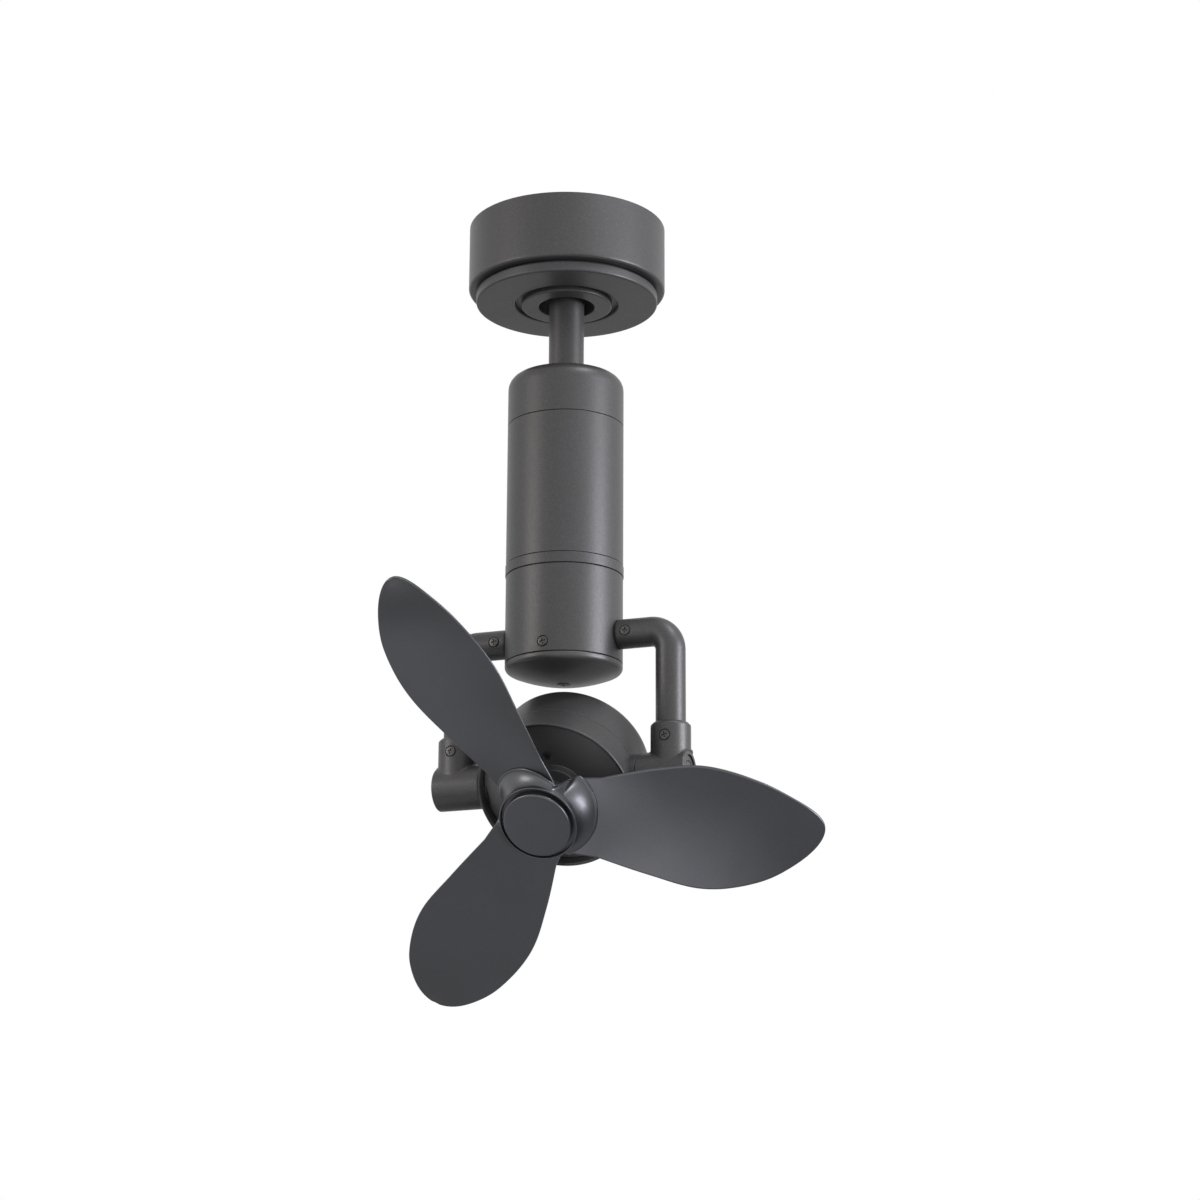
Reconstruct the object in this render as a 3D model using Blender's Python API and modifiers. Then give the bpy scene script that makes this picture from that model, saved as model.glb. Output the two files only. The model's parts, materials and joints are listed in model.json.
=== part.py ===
"""Orbital ceiling fan: a small three-blade fan head in a yoke that turns slowly under its housing.

Metres, +Z up. The origin is the middle of the ceiling bracket's top face, where it meets the
ceiling. The yoke axis lies along X and the head faces -Y, tilted down as it stands at rest.
"""
import math

import bmesh
import bpy
from mathutils import Vector

MM = 0.001
GAP = 0.3 * MM          # clearance between pieces that touch
RUNNING = 0.5 * MM      # clearance between pieces that turn past each other
ROUND = 24              # sides of a large turned piece
MEDIUM = 16             # sides of a middling one
SMALL = 12              # sides of a small one
FINE = 8               # sides of a screw
CUTTER_PHASE = 3.7      # degrees that a cutter's facets are turned away from its part's

# Canopy at the ceiling
CANOPY_RADIUS = 75.0 * MM
CANOPY_HEIGHT = 51.6 * MM
CANOPY_WALL = 1.6 * MM
COVER_INSET = 5.7 * MM
COVER_RADIUS = CANOPY_RADIUS - COVER_INSET
COVER_HEIGHT = 7.9 * MM
COVER_NECK_INSET = 3.8 * MM
COVER_NECK_HEIGHT = 1.6 * MM
COVER_BOSS_RADIUS = 34.5 * MM
COVER_BOSS_DROP = 2.0 * MM
COVER_GROOVE_WIDTH = 5.3 * MM
COVER_GROOVE_DEPTH = 3.0 * MM
EDGE_ROUND = 0.9 * MM

# Bracket, hanger ball and downrod
BRACKET_LENGTH = 116.0 * MM
BRACKET_TOP_LENGTH = 100.0 * MM
BRACKET_WIDTH = 46.0 * MM
BRACKET_SHEET = 2.5 * MM
BRACKET_LEG_X = 34.0 * MM
BRACKET_DROP = 36.0 * MM
SEAT_TOP = -BRACKET_DROP
SEAT_THICKNESS = 5.0 * MM
SEAT_OPENING = 16.2 * MM
CEILING_SCREW_X = 42.0 * MM
CEILING_SLOT_RADIUS = 2.8 * MM
CEILING_SLOT_LENGTH = 5.0 * MM
WIRE_HOLE_RADIUS = 7.0 * MM
WIRE_HOLE_X = 20.0 * MM
CANOPY_SCREW_X = 52.0 * MM
BALL_RADIUS = 20.0 * MM
BALL_RISE = 9.0 * MM
BALL_CENTRE = SEAT_TOP + BALL_RISE
BALL_PLAY = 0.6 * MM
BALL_TOP_CUT = 12.0 * MM
BALL_BOTTOM_CUT = 14.5 * MM
ROD_RADIUS = 13.35 * MM
ROD_WALL = 2.3 * MM
ROD_STICK_OUT = 1.5 * MM
ROD_TOP = BALL_CENTRE + BALL_TOP_CUT + ROD_STICK_OUT
ROD_SWING_ROOM = 8.05 * MM
COVER_HOLE = ROD_RADIUS + ROD_SWING_ROOM
CANOPY_OPENING = COVER_HOLE + CANOPY_WALL + GAP
CROSS_PIN_RADIUS = 3.0 * MM
CROSS_PIN_RISE = 5.0 * MM
CROSS_PIN_LENGTH = 36.0 * MM

# Fixed housing
HOUSING_DROP = 121.0 * MM
HOUSING_TOP = -HOUSING_DROP
HOUSING_RADIUS = 43.7 * MM
HOUSING_WALL = 2.5 * MM
HOUSING_INNER = HOUSING_RADIUS - HOUSING_WALL
CAP_HEIGHT = 39.7 * MM
CAP_FILLET = 10.5 * MM
CAP_BOTTOM = HOUSING_TOP - CAP_HEIGHT
SPIGOT_LENGTH = 7.5 * MM
TUBE_LENGTH = 110.0 * MM
TUBE_BOTTOM = CAP_BOTTOM - TUBE_LENGTH
BAND_STEP = 0.4 * MM
BAND_RADIUS = HOUSING_RADIUS + BAND_STEP
BAND_HEIGHT = 8.1 * MM
BAND_BOTTOM = TUBE_BOTTOM - BAND_HEIGHT
BASE_PLATE = 4.0 * MM
BASE_PLATE_TOP = BAND_BOTTOM + BASE_PLATE
COUPLING_WALL = 5.85 * MM
COUPLING_RADIUS = ROD_RADIUS + GAP + COUPLING_WALL
COUPLING_FLANGE = 30.0 * MM
COUPLING_FLANGE_THICKNESS = 3.2 * MM
COUPLING_LENGTH = 28.0 * MM
COUPLING_BOLT_RADIUS = 3.0 * MM
COUPLING_BOLT_HEAD = 5.0 * MM
COUPLING_BOLT_HEIGHT = 4.0 * MM
COUPLING_BOLT_DROP = 16.0 * MM

# Orbit drive: a hollow shaft in two bearings, turned by a gearmotor
SHAFT_RADIUS = 8.5 * MM
SHAFT_BORE = 5.5 * MM
SHAFT_FLANGE_RADIUS = 24.0 * MM
SHAFT_FLANGE_THICKNESS = 3.5 * MM
BEARING_RADIUS = 17.5 * MM
BEARING_HEIGHT = 10.0 * MM
BEARING_BOSS_WALL = 3.2 * MM
BEARING_LIP = 12.0 * MM
LOWER_BEARING_LOW = BASE_PLATE_TOP + GAP
LOWER_BEARING_HIGH = LOWER_BEARING_LOW + BEARING_HEIGHT
GEAR_MODULE = 1.5 * MM
GEAR_TEETH = 28
PINION_TEETH = 8
GEAR_DISTANCE = GEAR_MODULE * (GEAR_TEETH + PINION_TEETH) / 2
GEAR_WIDTH = 6.0 * MM
GEAR_HUB_WALL = 2.7 * MM
GEAR_HUB_RADIUS = SHAFT_RADIUS + GAP + GEAR_HUB_WALL
GEAR_HUB_HEIGHT = 3.2 * MM
GEAR_BACKLASH = 0.22 * MM
GEAR_LOW = LOWER_BEARING_HIGH + GAP + GEAR_HUB_HEIGHT
GEAR_ROOM = 3.0 * MM
BRIDGE_ROOM = 1.7 * MM
BRIDGE_RADIUS = HOUSING_INNER - BRIDGE_ROOM
BRIDGE_THICKNESS = 4.0 * MM
BRIDGE_BOTTOM = GEAR_LOW + GEAR_WIDTH + GEAR_ROOM + BEARING_HEIGHT
BRIDGE_TOP = BRIDGE_BOTTOM + BRIDGE_THICKNESS
UPPER_BEARING_HIGH = BRIDGE_BOTTOM - GAP
BRIDGE_LEG_RADIUS = 3.5 * MM
BRIDGE_LEG_INSET = 7.2 * MM
BRIDGE_LEG_PITCH = HOUSING_INNER - BRIDGE_LEG_INSET
SHAFT_STICK_OUT = 1.8 * MM
SHAFT_TOP = BRIDGE_TOP + SHAFT_STICK_OUT
PINION_SHAFT_RADIUS = 2.5 * MM
PINION_SHAFT_GRIP = 8.0 * MM
MOTOR_CAN_ROOM = 2.0 * MM
MOTOR_CAN_RADIUS = HOUSING_INNER - MOTOR_CAN_ROOM - GEAR_DISTANCE
MOTOR_CAN_HEIGHT = 48.0 * MM
MOTOR_CAN_STEP = 1.2 * MM
MOTOR_GEARBOX_HEIGHT = 20.2 * MM
SLIP_RING_ROOM = 0.8 * MM
SLIP_RING_RADIUS = GEAR_DISTANCE - MOTOR_CAN_RADIUS - SLIP_RING_ROOM
SLIP_RING_HEIGHT = 24.0 * MM
SLIP_RING_NOSE = SHAFT_BORE - 3 * GAP
SLIP_RING_NOSE_LENGTH = 11.0 * MM

# Yoke that turns under the housing
HUB_INSET = 0.5 * MM
HUB_RADIUS = BAND_RADIUS - HUB_INSET
HUB_WALL = 2.5 * MM
HUB_TOP_PLATE = 3.0 * MM
HUB_HEIGHT = 66.3 * MM
HUB_TOP = BAND_BOTTOM - GAP
HUB_BOTTOM = HUB_TOP - HUB_HEIGHT
FLANGE_TOP = HUB_TOP - HUB_TOP_PLATE - GAP
ARM_RISE = 19.3 * MM
ARM_Z = HUB_BOTTOM + ARM_RISE
ARM_RADIUS = 11.0 * MM
ARM_WALL = 1.6 * MM
ARM_BEND = 14.7 * MM
CROSS_TUBE_FIT = 0.4 * MM
CROSS_TUBE_RADIUS = ARM_RADIUS - ARM_WALL - CROSS_TUBE_FIT
CROSS_TUBE_WALL = 1.8 * MM
DOME_LIP = 3.8 * MM
DOME_DEPTH = 11.1 * MM
DOME_CORNER = 1.6 * MM
DOME_CORNER_TURN = 70.0
DOME_POWER = 1.85
DOME_WALL = 2.2 * MM
DOME_COLLAR_WALL = 2.0 * MM
DOME_SCREW_RADIUS = 2.0 * MM
DOME_SCREW_HEAD = 4.4 * MM
DOME_SCREW_HEIGHT = 1.6 * MM
DOME_SCREW_SUNK = 1.4 * MM
CAP_SCREW_RISE = 7.4 * MM
CAP_SCREW_Z = HUB_BOTTOM + CAP_SCREW_RISE
PIVOT_DROP = 106.9 * MM
PIVOT_Z = ARM_Z - PIVOT_DROP
BARREL_RADIUS = 16.2 * MM
BARREL_EDGE = 1.2 * MM
ARM_SEAT_RISE = 3.8 * MM
ARM_BOTTOM = PIVOT_Z + BARREL_RADIUS + ARM_SEAT_RISE
SOCKET_WALL = 3.4 * MM
SOCKET_RADIUS = ARM_RADIUS + GAP + SOCKET_WALL
SOCKET_LENGTH = 17.0 * MM
SOCKET_TOP = ARM_BOTTOM + SOCKET_LENGTH
SOCKET_SHOULDER = 2.8 * MM
TEE_SCREW_RISE = 5.5 * MM
TEE_SCREW_Z = ARM_BOTTOM + TEE_SCREW_RISE
WIRE_WAY_RADIUS = 4.0 * MM
YOKE_SCREW_HEAD = 3.5 * MM
YOKE_SCREW_SHANK = 1.9 * MM
YOKE_SCREW_HEIGHT = 1.2 * MM
YOKE_SCREW_SUNK = 1.0 * MM
YOKE_SCREW_ROOM = 0.4 * MM
LONG_SCREW_HEIGHT = 2.2 * MM

# Fan head: heights are measured along the fan axis from the tilt axis
TILT_DEG = 39.8
DRUM_RADIUS = 58.4 * MM
DRUM_WALL = 2.5 * MM
DRUM_INNER = DRUM_RADIUS - DRUM_WALL
DRUM_BACK = -33.7 * MM
DRUM_FRONT = 22.5 * MM
DRUM_CORNER = 6.0 * MM
DRUM_LIP = 0.8 * MM
BARREL_GAP = 2.5 * MM
BARREL_INNER = DRUM_RADIUS + BARREL_GAP
BARREL_LENGTH = 36.2 * MM
BARREL_OUTER = BARREL_INNER + BARREL_LENGTH
SOCKET_INSET = 22.3 * MM
ARM_X = BARREL_INNER + SOCKET_INSET
ARM_SCREW_OUT = 7.9 * MM
ARM_SCREW_X = HUB_RADIUS + ARM_SCREW_OUT
CROSS_TUBE_INSET = 6.5 * MM
CROSS_TUBE_LENGTH = 2 * (ARM_X - ARM_BEND - CROSS_TUBE_INSET)
PIVOT_CAP_RIM = 3.8 * MM
PIVOT_CAP_RADIUS = BARREL_RADIUS - PIVOT_CAP_RIM
PIVOT_CAP_DEPTH = 3.6 * MM
PIVOT_CAP_PLUG = 7.0 * MM
PIVOT_CAP_SUNK = 0.4 * MM
PIVOT_CAP_GROOVE = 0.8 * MM
PIVOT_CAP_BORDER = 4.7 * MM
TRUNNION_RADIUS = 10.0 * MM
TRUNNION_BORE = 5.6 * MM
TRUNNION_NECK = 7.6 * MM
TRUNNION_BOSS = BARREL_RADIUS - 0.4 * MM
TRUNNION_FLANGE = 13.0 * MM
TRUNNION_FLANGE_ROOM = 2.8 * MM
TRUNNION_FLANGE_THICKNESS = 3.6 * MM
TRUNNION_FLANGE_X = DRUM_INNER - TRUNNION_FLANGE_ROOM - TRUNNION_FLANGE_THICKNESS
TRUNNION_FLAT = TRUNNION_NECK + 0.4 * MM
TRUNNION_END = BARREL_OUTER - PIVOT_CAP_DEPTH - 1.5 * MM
PLATE_RECESS = 8.7 * MM
PLATE_THICKNESS = 2.5 * MM
PLATE_FRONT = DRUM_FRONT - PLATE_RECESS
PLATE_BACK = PLATE_FRONT - PLATE_THICKNESS
PLATE_BOSS_RADIUS = 20.5 * MM
PLATE_BOSS_HEIGHT = 5.2 * MM
PLATE_BOSS_SLOPE = 1.5 * MM
LEDGE_WIDTH = 5.6 * MM
LEDGE_THICKNESS = 2.5 * MM
PLATE_SCREW_PITCH = 29.0 * MM
PLATE_SCREW_ANGLE = 92.0
PLATE_SCREW_HEAD = 3.0 * MM
PLATE_SCREW_HEIGHT = 1.8 * MM
PLATE_SCREW_SHANK = 1.5 * MM
END_BELL_PLATE = 2.0 * MM
BELL_FRONT = PLATE_BACK - GAP
BELL_BACK = BELL_FRONT - END_BELL_PLATE
BELL_SKIRT = 7.7 * MM
STATOR_RADIUS = 40.0 * MM
STATOR_LENGTH = 18.0 * MM
STATOR_HIGH = BELL_BACK - BELL_SKIRT - GAP
STATOR_LOW = STATOR_HIGH - STATOR_LENGTH
STATOR_GRIP = 5.0 * MM
STATOR_TEETH = 9
SLOT_ANGLE = 12.5
SLOT_INNER = 26.0 * MM
SLOT_OUTER = 34.5 * MM
WINDING_END = 6.5 * MM
ROTOR_RADIUS = 22.0 * MM
AIR_GAP = 0.6 * MM
STATOR_BORE = ROTOR_RADIUS + AIR_GAP
ROTOR_LOW = STATOR_LOW - 1.0 * MM
ROTOR_HIGH = STATOR_HIGH - 0.5 * MM
ROTOR_DISH = 2.0 * MM
AXLE_RADIUS = 4.0 * MM
AXLE_ROOM = 2.0 * MM
HEAD_BEARING_RADIUS = 11.0 * MM
HEAD_BEARING_HEIGHT = 7.0 * MM
HEAD_BEARING_SEAT_WALL = 2.6 * MM

# Propeller
BLADE_OFFSET = 24.2 * MM
ROOT_HEIGHT = DRUM_FRONT + BLADE_OFFSET
CREST_RISE = 5.1 * MM
CREST_HEIGHT = ROOT_HEIGHT + CREST_RISE
CREST_AT = 0.6
CREST_POWER = 1.15
TIP_DROP = 6.6 * MM
TIP_HEIGHT = ROOT_HEIGHT - TIP_DROP
HUB_RIM_RADIUS = 28.9 * MM
HUB_FLARE = 0.3 * MM
HUB_SIDE_RADIUS = HUB_RIM_RADIUS + HUB_FLARE
HUB_CLEAR = 5.3 * MM
HUB_BACK = ROOT_HEIGHT + HUB_CLEAR
HUB_THICKNESS = 12.1 * MM
HUB_FRONT = HUB_BACK + HUB_THICKNESS
HUB_RIM_DROP = 4.0 * MM
HUB_RIM_EDGE = 0.7 * MM
HUB_RIM_WIDTH = 3.4 * MM
HUB_DIP_RADIUS = HUB_RIM_RADIUS - HUB_RIM_WIDTH
HUB_DIP_DEPTH = 3.3 * MM
HUB_DIP = HUB_FRONT - HUB_DIP_DEPTH
HUB_POCKET_RADIUS = 19.0 * MM
HUB_POCKET_FLOOR = HUB_BACK + 2.5 * MM
HUB_CORE_RADIUS = 20.0 * MM
HUB_CORE_LENGTH = 19.0 * MM
HUB_CORE_BACK = HUB_BACK - HUB_CORE_LENGTH
HUB_CAP_RADIUS = HUB_DIP_RADIUS - 0.6 * MM
HUB_CAP_RISE = 3.1 * MM
HUB_CAP_FRONT = HUB_FRONT + HUB_CAP_RISE
HUB_CAP_EDGE = 0.9 * MM
HUB_CAP_CROWN = 0.3 * MM
HUB_CAP_WALL = 2.2 * MM
HUB_CAP_PLUG = 4.0 * MM
NUT_RADIUS = 7.5 * MM
NUT_HEIGHT = 5.5 * MM
AXLE_TOP = HUB_POCKET_FLOOR + GAP + NUT_HEIGHT + 1.2 * MM
BLADE_COUNT = 3
BLADE_ANGLE = -9.0
BLADE_TIP = 203.0 * MM
BLADE_ROOT_GAP = 1.8 * MM
BLADE_ROOT = HUB_SIDE_RADIUS + BLADE_ROOT_GAP
BLADE_NECK = 17.4 * MM
BLADE_SHOULDER = BLADE_ROOT + BLADE_NECK
BLADE_THICK = 3.2 * MM
BLADE_EDGE = 1.3 * MM
BLADE_CAMBER = 2.6 * MM
BLADE_SLIMMING = 0.35
TIP_ROUNDNESS = 6
TIP_CHORD = 0.86
PITCH_ROOT = 18.4
PITCH_TIP = 6.9
CHORDS = ((0.25, 37.4 * MM), (0.5, 43.8 * MM), (0.75, 39.2 * MM), (0.9, 32.1 * MM))
LEADING_CHORDS = ((0.0, 29.6 * MM),) + CHORDS
TRAILING_CHORDS = ((0.0, 27.9 * MM),) + CHORDS
LOBE_STEP = 1.2 * MM
LOBE_OVERLAP = 1.2 * MM
LOBE_POWER = 1.9
LOBE_EDGE = (
    (-58, 1.4 * MM), (-42, 3.4 * MM), (-30, 6.0 * MM), (-18, 8.1 * MM), (-4, 9.9 * MM),
    (12, 11.4 * MM), (28, 11.4 * MM), (43, 10.0 * MM), (51, 4.8 * MM),
)
FOOT_WIDTH = 16.0 * MM
FOOT_INSET = 3.2 * MM
FOOT_REACH = HUB_SIDE_RADIUS - FOOT_INSET
FOOT_DROP = 4.7 * MM
FOOT_BACK = ROOT_HEIGHT - FOOT_DROP
TONGUE_THICK = 2.4 * MM
BLADE_SCREW_PITCH = (HUB_CORE_RADIUS + 2 * GAP + FOOT_REACH) / 2
BLADE_SCREW_HEAD = 3.2 * MM
BLADE_SCREW_SHANK = 1.7 * MM
BLADE_SCREW_BITE = 5.0 * MM

GRAPHITE = (0.055, 0.053, 0.056)
CHARCOAL = (0.040, 0.041, 0.046)
STEEL = (0.45, 0.45, 0.46)
BRASS = (0.55, 0.42, 0.18)
COPPER = (0.50, 0.20, 0.09)
NYLON = (0.75, 0.74, 0.70)
BLACK = (0.02, 0.02, 0.02)


def start_empty_scene():
    """Remove the scene's objects and open the collections for parts and cutters."""
    for obj in list(bpy.data.objects):
        bpy.data.objects.remove(obj, do_unlink=True)
    made = []
    for name in ("orbital_fan", "cutters"):
        collection = bpy.data.collections.new(name)
        bpy.context.scene.collection.children.link(collection)
        made.append(collection)
    return made


PARTS, CUTTERS = start_empty_scene()


def material(name, colour, roughness, metallic):
    """A Principled material of one colour."""
    made = bpy.data.materials.new(name)
    made.use_nodes = True
    shader = made.node_tree.nodes["Principled BSDF"]
    shader.inputs["Base Color"].default_value = (*colour, 1.0)
    shader.inputs["Roughness"].default_value = roughness
    shader.inputs["Metallic"].default_value = metallic
    made.diffuse_color = (*colour, 1.0)
    return made


def finish(colour, roughness, metallic):
    """A recipe that gives each piece its own material of one finish."""
    return lambda name: material(name + "_finish", colour, roughness, metallic)


PAINTED = finish(GRAPHITE, 0.42, 0.6)
MOULDED = finish(CHARCOAL, 0.5, 0.0)
STEELY = finish(STEEL, 0.35, 1.0)
BRASSY = finish(BRASS, 0.35, 1.0)
COPPERY = finish(COPPER, 0.45, 0.9)
NYLONY = finish(NYLON, 0.5, 0.0)
BLACKED = finish(BLACK, 0.5, 0.1)


def add_object(name, mesh, look=None, parent=None, place=(0, 0, 0), turn=(0, 0, 0)):
    """Put a mesh in the scene as a part, or as a hidden cutter when it has no look."""
    obj = bpy.data.objects.new(name, mesh)
    obj.location = place
    obj.rotation_euler = [math.radians(angle) for angle in turn]
    obj.parent = parent
    if look is None:
        CUTTERS.objects.link(obj)
        obj.hide_render = True
        obj.display_type = "WIRE"
    else:
        PARTS.objects.link(obj)
        mesh.materials.append(look(name))
    return obj


def pivot(name, parent=None, place=(0, 0, 0), turn=(0, 0, 0)):
    """An empty on a joint's axis, which carries the pieces that move with it."""
    empty = bpy.data.objects.new(name, None)
    PARTS.objects.link(empty)
    empty.location = place
    empty.rotation_euler = [math.radians(angle) for angle in turn]
    empty.parent = parent
    return empty


def turned(name, profile, look=None, parent=None, place=(0, 0, 0), turn=(0, 0, 0), sides=ROUND,
           phase=None):
    """Turn a profile of (radius, height) points about local Z.

    The profile runs down the outer side. It is closed, unless both of its ends lie on the axis.
    """
    if phase is None:
        phase = math.radians(CUTTER_PHASE) if look is None else 0
    points = [(radius * math.cos(phase), radius * math.sin(phase), height) for radius, height in profile]
    edges = [(i, i + 1) for i in range(len(points) - 1)]
    if profile[0][0] > 0 or profile[-1][0] > 0:
        edges.append((len(points) - 1, 0))
    mesh = bpy.data.meshes.new(name)
    mesh.from_pydata(points, edges, [])
    obj = add_object(name, mesh, look, parent, place, turn)
    screw = obj.modifiers.new("Turn", "SCREW")
    screw.steps = sides
    screw.render_steps = sides
    screw.use_merge_vertices = True
    screw.merge_threshold = 0.00001
    screw.use_smooth_shade = True
    return obj


def rod(name, radius, low, high, look=None, parent=None, place=(0, 0, 0), turn=(0, 0, 0), sides=SMALL,
        phase=None):
    """A plain cylinder from low to high on local Z."""
    profile = [(0, high), (radius, high), (radius, low), (0, low)]
    return turned(name, profile, look, parent, place, turn, sides, phase)


def ring(name, inner, outer, low, high, look=None, parent=None, place=(0, 0, 0), turn=(0, 0, 0),
         sides=SMALL, phase=None):
    """A ring of square section from low to high on local Z."""
    profile = [(outer, high), (outer, low), (inner, low), (inner, high)]
    return turned(name, profile, look, parent, place, turn, sides, phase)


def block(name, low, high, look=None, parent=None, place=(0, 0, 0), turn=(0, 0, 0)):
    """A box between two corners."""
    mesh = bpy.data.meshes.new(name)
    bm = bmesh.new()
    bmesh.ops.create_cube(bm, size=1.0)
    size = Vector(high) - Vector(low)
    middle = (Vector(high) + Vector(low)) / 2
    bmesh.ops.scale(bm, vec=size, verts=bm.verts)
    bmesh.ops.translate(bm, vec=middle, verts=bm.verts)
    bm.to_mesh(mesh)
    bm.free()
    return add_object(name, mesh, look, parent, place, turn)


def mesh_of_curve(name, curve):
    """Turn a curve into one closed mesh with its caps welded."""
    scratch = bpy.data.objects.new(name, curve)
    PARTS.objects.link(scratch)
    bpy.context.view_layer.update()
    mesh = bpy.data.meshes.new_from_object(scratch.evaluated_get(bpy.context.evaluated_depsgraph_get()))
    bpy.data.objects.remove(scratch, do_unlink=True)
    bm = bmesh.new()
    bm.from_mesh(mesh)
    bmesh.ops.remove_doubles(bm, verts=bm.verts, dist=0.000005)
    bmesh.ops.recalc_face_normals(bm, faces=bm.faces)
    bm.to_mesh(mesh)
    bm.free()
    mesh.name = name
    mesh.materials.clear()
    return mesh


def add_spline(curve, points, cyclic):
    """Add a straight-sided spline through points of two or three coordinates."""
    spline = curve.splines.new("POLY")
    spline.points.add(len(points) - 1)
    for target, point in zip(spline.points, points):
        target.co = (*point, 0, 1) if len(point) == 2 else (*point, 1)
    spline.use_cyclic_u = cyclic


def prism(name, outlines, low, high, look=None, parent=None, place=(0, 0, 0), turn=(0, 0, 0)):
    """A flat outline, with holes where outlines nest, from low to high on local Z."""
    curve = bpy.data.curves.new(name, "CURVE")
    curve.dimensions = "2D"
    curve.fill_mode = "BOTH"
    curve.extrude = (high - low) / 2
    for outline in outlines:
        add_spline(curve, outline, True)
    mesh = mesh_of_curve(name, curve)
    for vertex in mesh.vertices:
        vertex.co.z += (high + low) / 2
    return add_object(name, mesh, look, parent, place, turn)


def pipe(name, route, radius, look=None, parent=None, resolution=4):
    """A solid rod of round section along a route of points."""
    curve = bpy.data.curves.new(name, "CURVE")
    curve.dimensions = "3D"
    curve.bevel_depth = radius
    curve.bevel_resolution = resolution
    curve.use_fill_caps = True
    add_spline(curve, route, False)
    return add_object(name, mesh_of_curve(name, curve), look, parent)


def combine(obj, other, operation):
    """Join another solid to a part, or cut it out of the part."""
    boolean = obj.modifiers.new(operation.title(), "BOOLEAN")
    boolean.operation = operation
    boolean.solver = "EXACT"
    boolean.object = other


def cut(obj, *cutters):
    for cutter in cutters:
        combine(obj, cutter, "DIFFERENCE")


def join(obj, *pieces):
    for piece in pieces:
        combine(obj, piece, "UNION")


def circle(radius, sides, start=0.0):
    """Points round a circle."""
    angles = [start + 2 * math.pi * i / sides for i in range(sides)]
    return [(radius * math.cos(a), radius * math.sin(a)) for a in angles]


def arc(centre, radius, first, last, steps):
    """Points on an arc, with angles in degrees from the +radius direction."""
    angles = [math.radians(first + (last - first) * i / steps) for i in range(steps + 1)]
    return [(centre[0] + radius * math.cos(a), centre[1] + radius * math.sin(a)) for a in angles]


def cross_recess(name, width, depth, head_top, parent, place, turn):
    """Cutter for the cross in a screw's head."""
    half = width / 2
    slim = width / 7
    tip = slim * 0.85
    corner = [(half, tip), (slim, slim), (tip, half), (-tip, half), (-slim, slim), (-half, tip)]
    outline = corner + [(-x, -y) for x, y in corner]
    return prism(name, [outline], head_top - depth, head_top + width, None, parent, place, turn)


def screw_piece(name, head, height, shank, length, parent, place, turn, look=STEELY, crossed=True):
    """A screw whose head sits on local Z = 0 with the shank below it."""
    profile = [
        (0, height),
        (head * 0.93, height),
        (head, 0),
        (shank, 0),
        (shank, -length),
        (0, -length),
    ]
    obj = turned(name, profile, look, parent, place, turn, FINE)
    if crossed:
        cut(obj, cross_recess(name + "_cross", head * 1.15, height * 0.6, height, parent, place, turn))
    return obj


# Canopy, cover ring and bracket

def canopy_shell():
    """A drawn cup with its open side against the ceiling and an opening round the hanger."""
    low = -CANOPY_HEIGHT
    inner = CANOPY_RADIUS - CANOPY_WALL
    profile = [
        (CANOPY_RADIUS, -GAP),
        (CANOPY_RADIUS, low + EDGE_ROUND),
        (CANOPY_RADIUS - EDGE_ROUND, low),
        (CANOPY_OPENING, low),
        (CANOPY_OPENING, low + CANOPY_WALL),
        (inner, low + CANOPY_WALL),
        (inner, -GAP),
    ]
    shell = turned("canopy_shell", profile, PAINTED)
    for side in (-1, 1):
        cut(shell, rod("canopy_hole", YOKE_SCREW_SHANK + GAP, low - MM, low + 2 * CANOPY_WALL,
                       place=(side * CANOPY_SCREW_X, 0, 0), sides=FINE))


def canopy_cover_ring():
    """The trim below the canopy: a necked tray with a grooved floor and a raised boss."""
    top = -CANOPY_HEIGHT - GAP
    step = -CANOPY_HEIGHT - COVER_NECK_HEIGHT
    floor = step - COVER_HEIGHT
    neck = COVER_RADIUS - COVER_NECK_INSET
    boss = floor - COVER_BOSS_DROP
    groove = floor + COVER_GROOVE_DEPTH
    groove_outer = COVER_BOSS_RADIUS + COVER_GROOVE_WIDTH
    wall = CANOPY_WALL
    collar = COVER_HOLE + wall
    collar_top = top + 2 * wall + GAP
    profile = [
        (neck, top),
        (neck, step),
        (COVER_RADIUS, step),
        (COVER_RADIUS, floor + EDGE_ROUND),
        (COVER_RADIUS - EDGE_ROUND, floor),
        (groove_outer, floor),
        (groove_outer - EDGE_ROUND, groove),
        (COVER_BOSS_RADIUS, groove),
        (COVER_BOSS_RADIUS, boss),
        (COVER_HOLE, boss),
        (COVER_HOLE, collar_top),
        (collar, collar_top),
        (collar, groove + wall),
        (neck - wall, groove + wall),
        (neck - wall, top),
    ]
    turned("canopy_cover_ring", profile, PAINTED)


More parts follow.
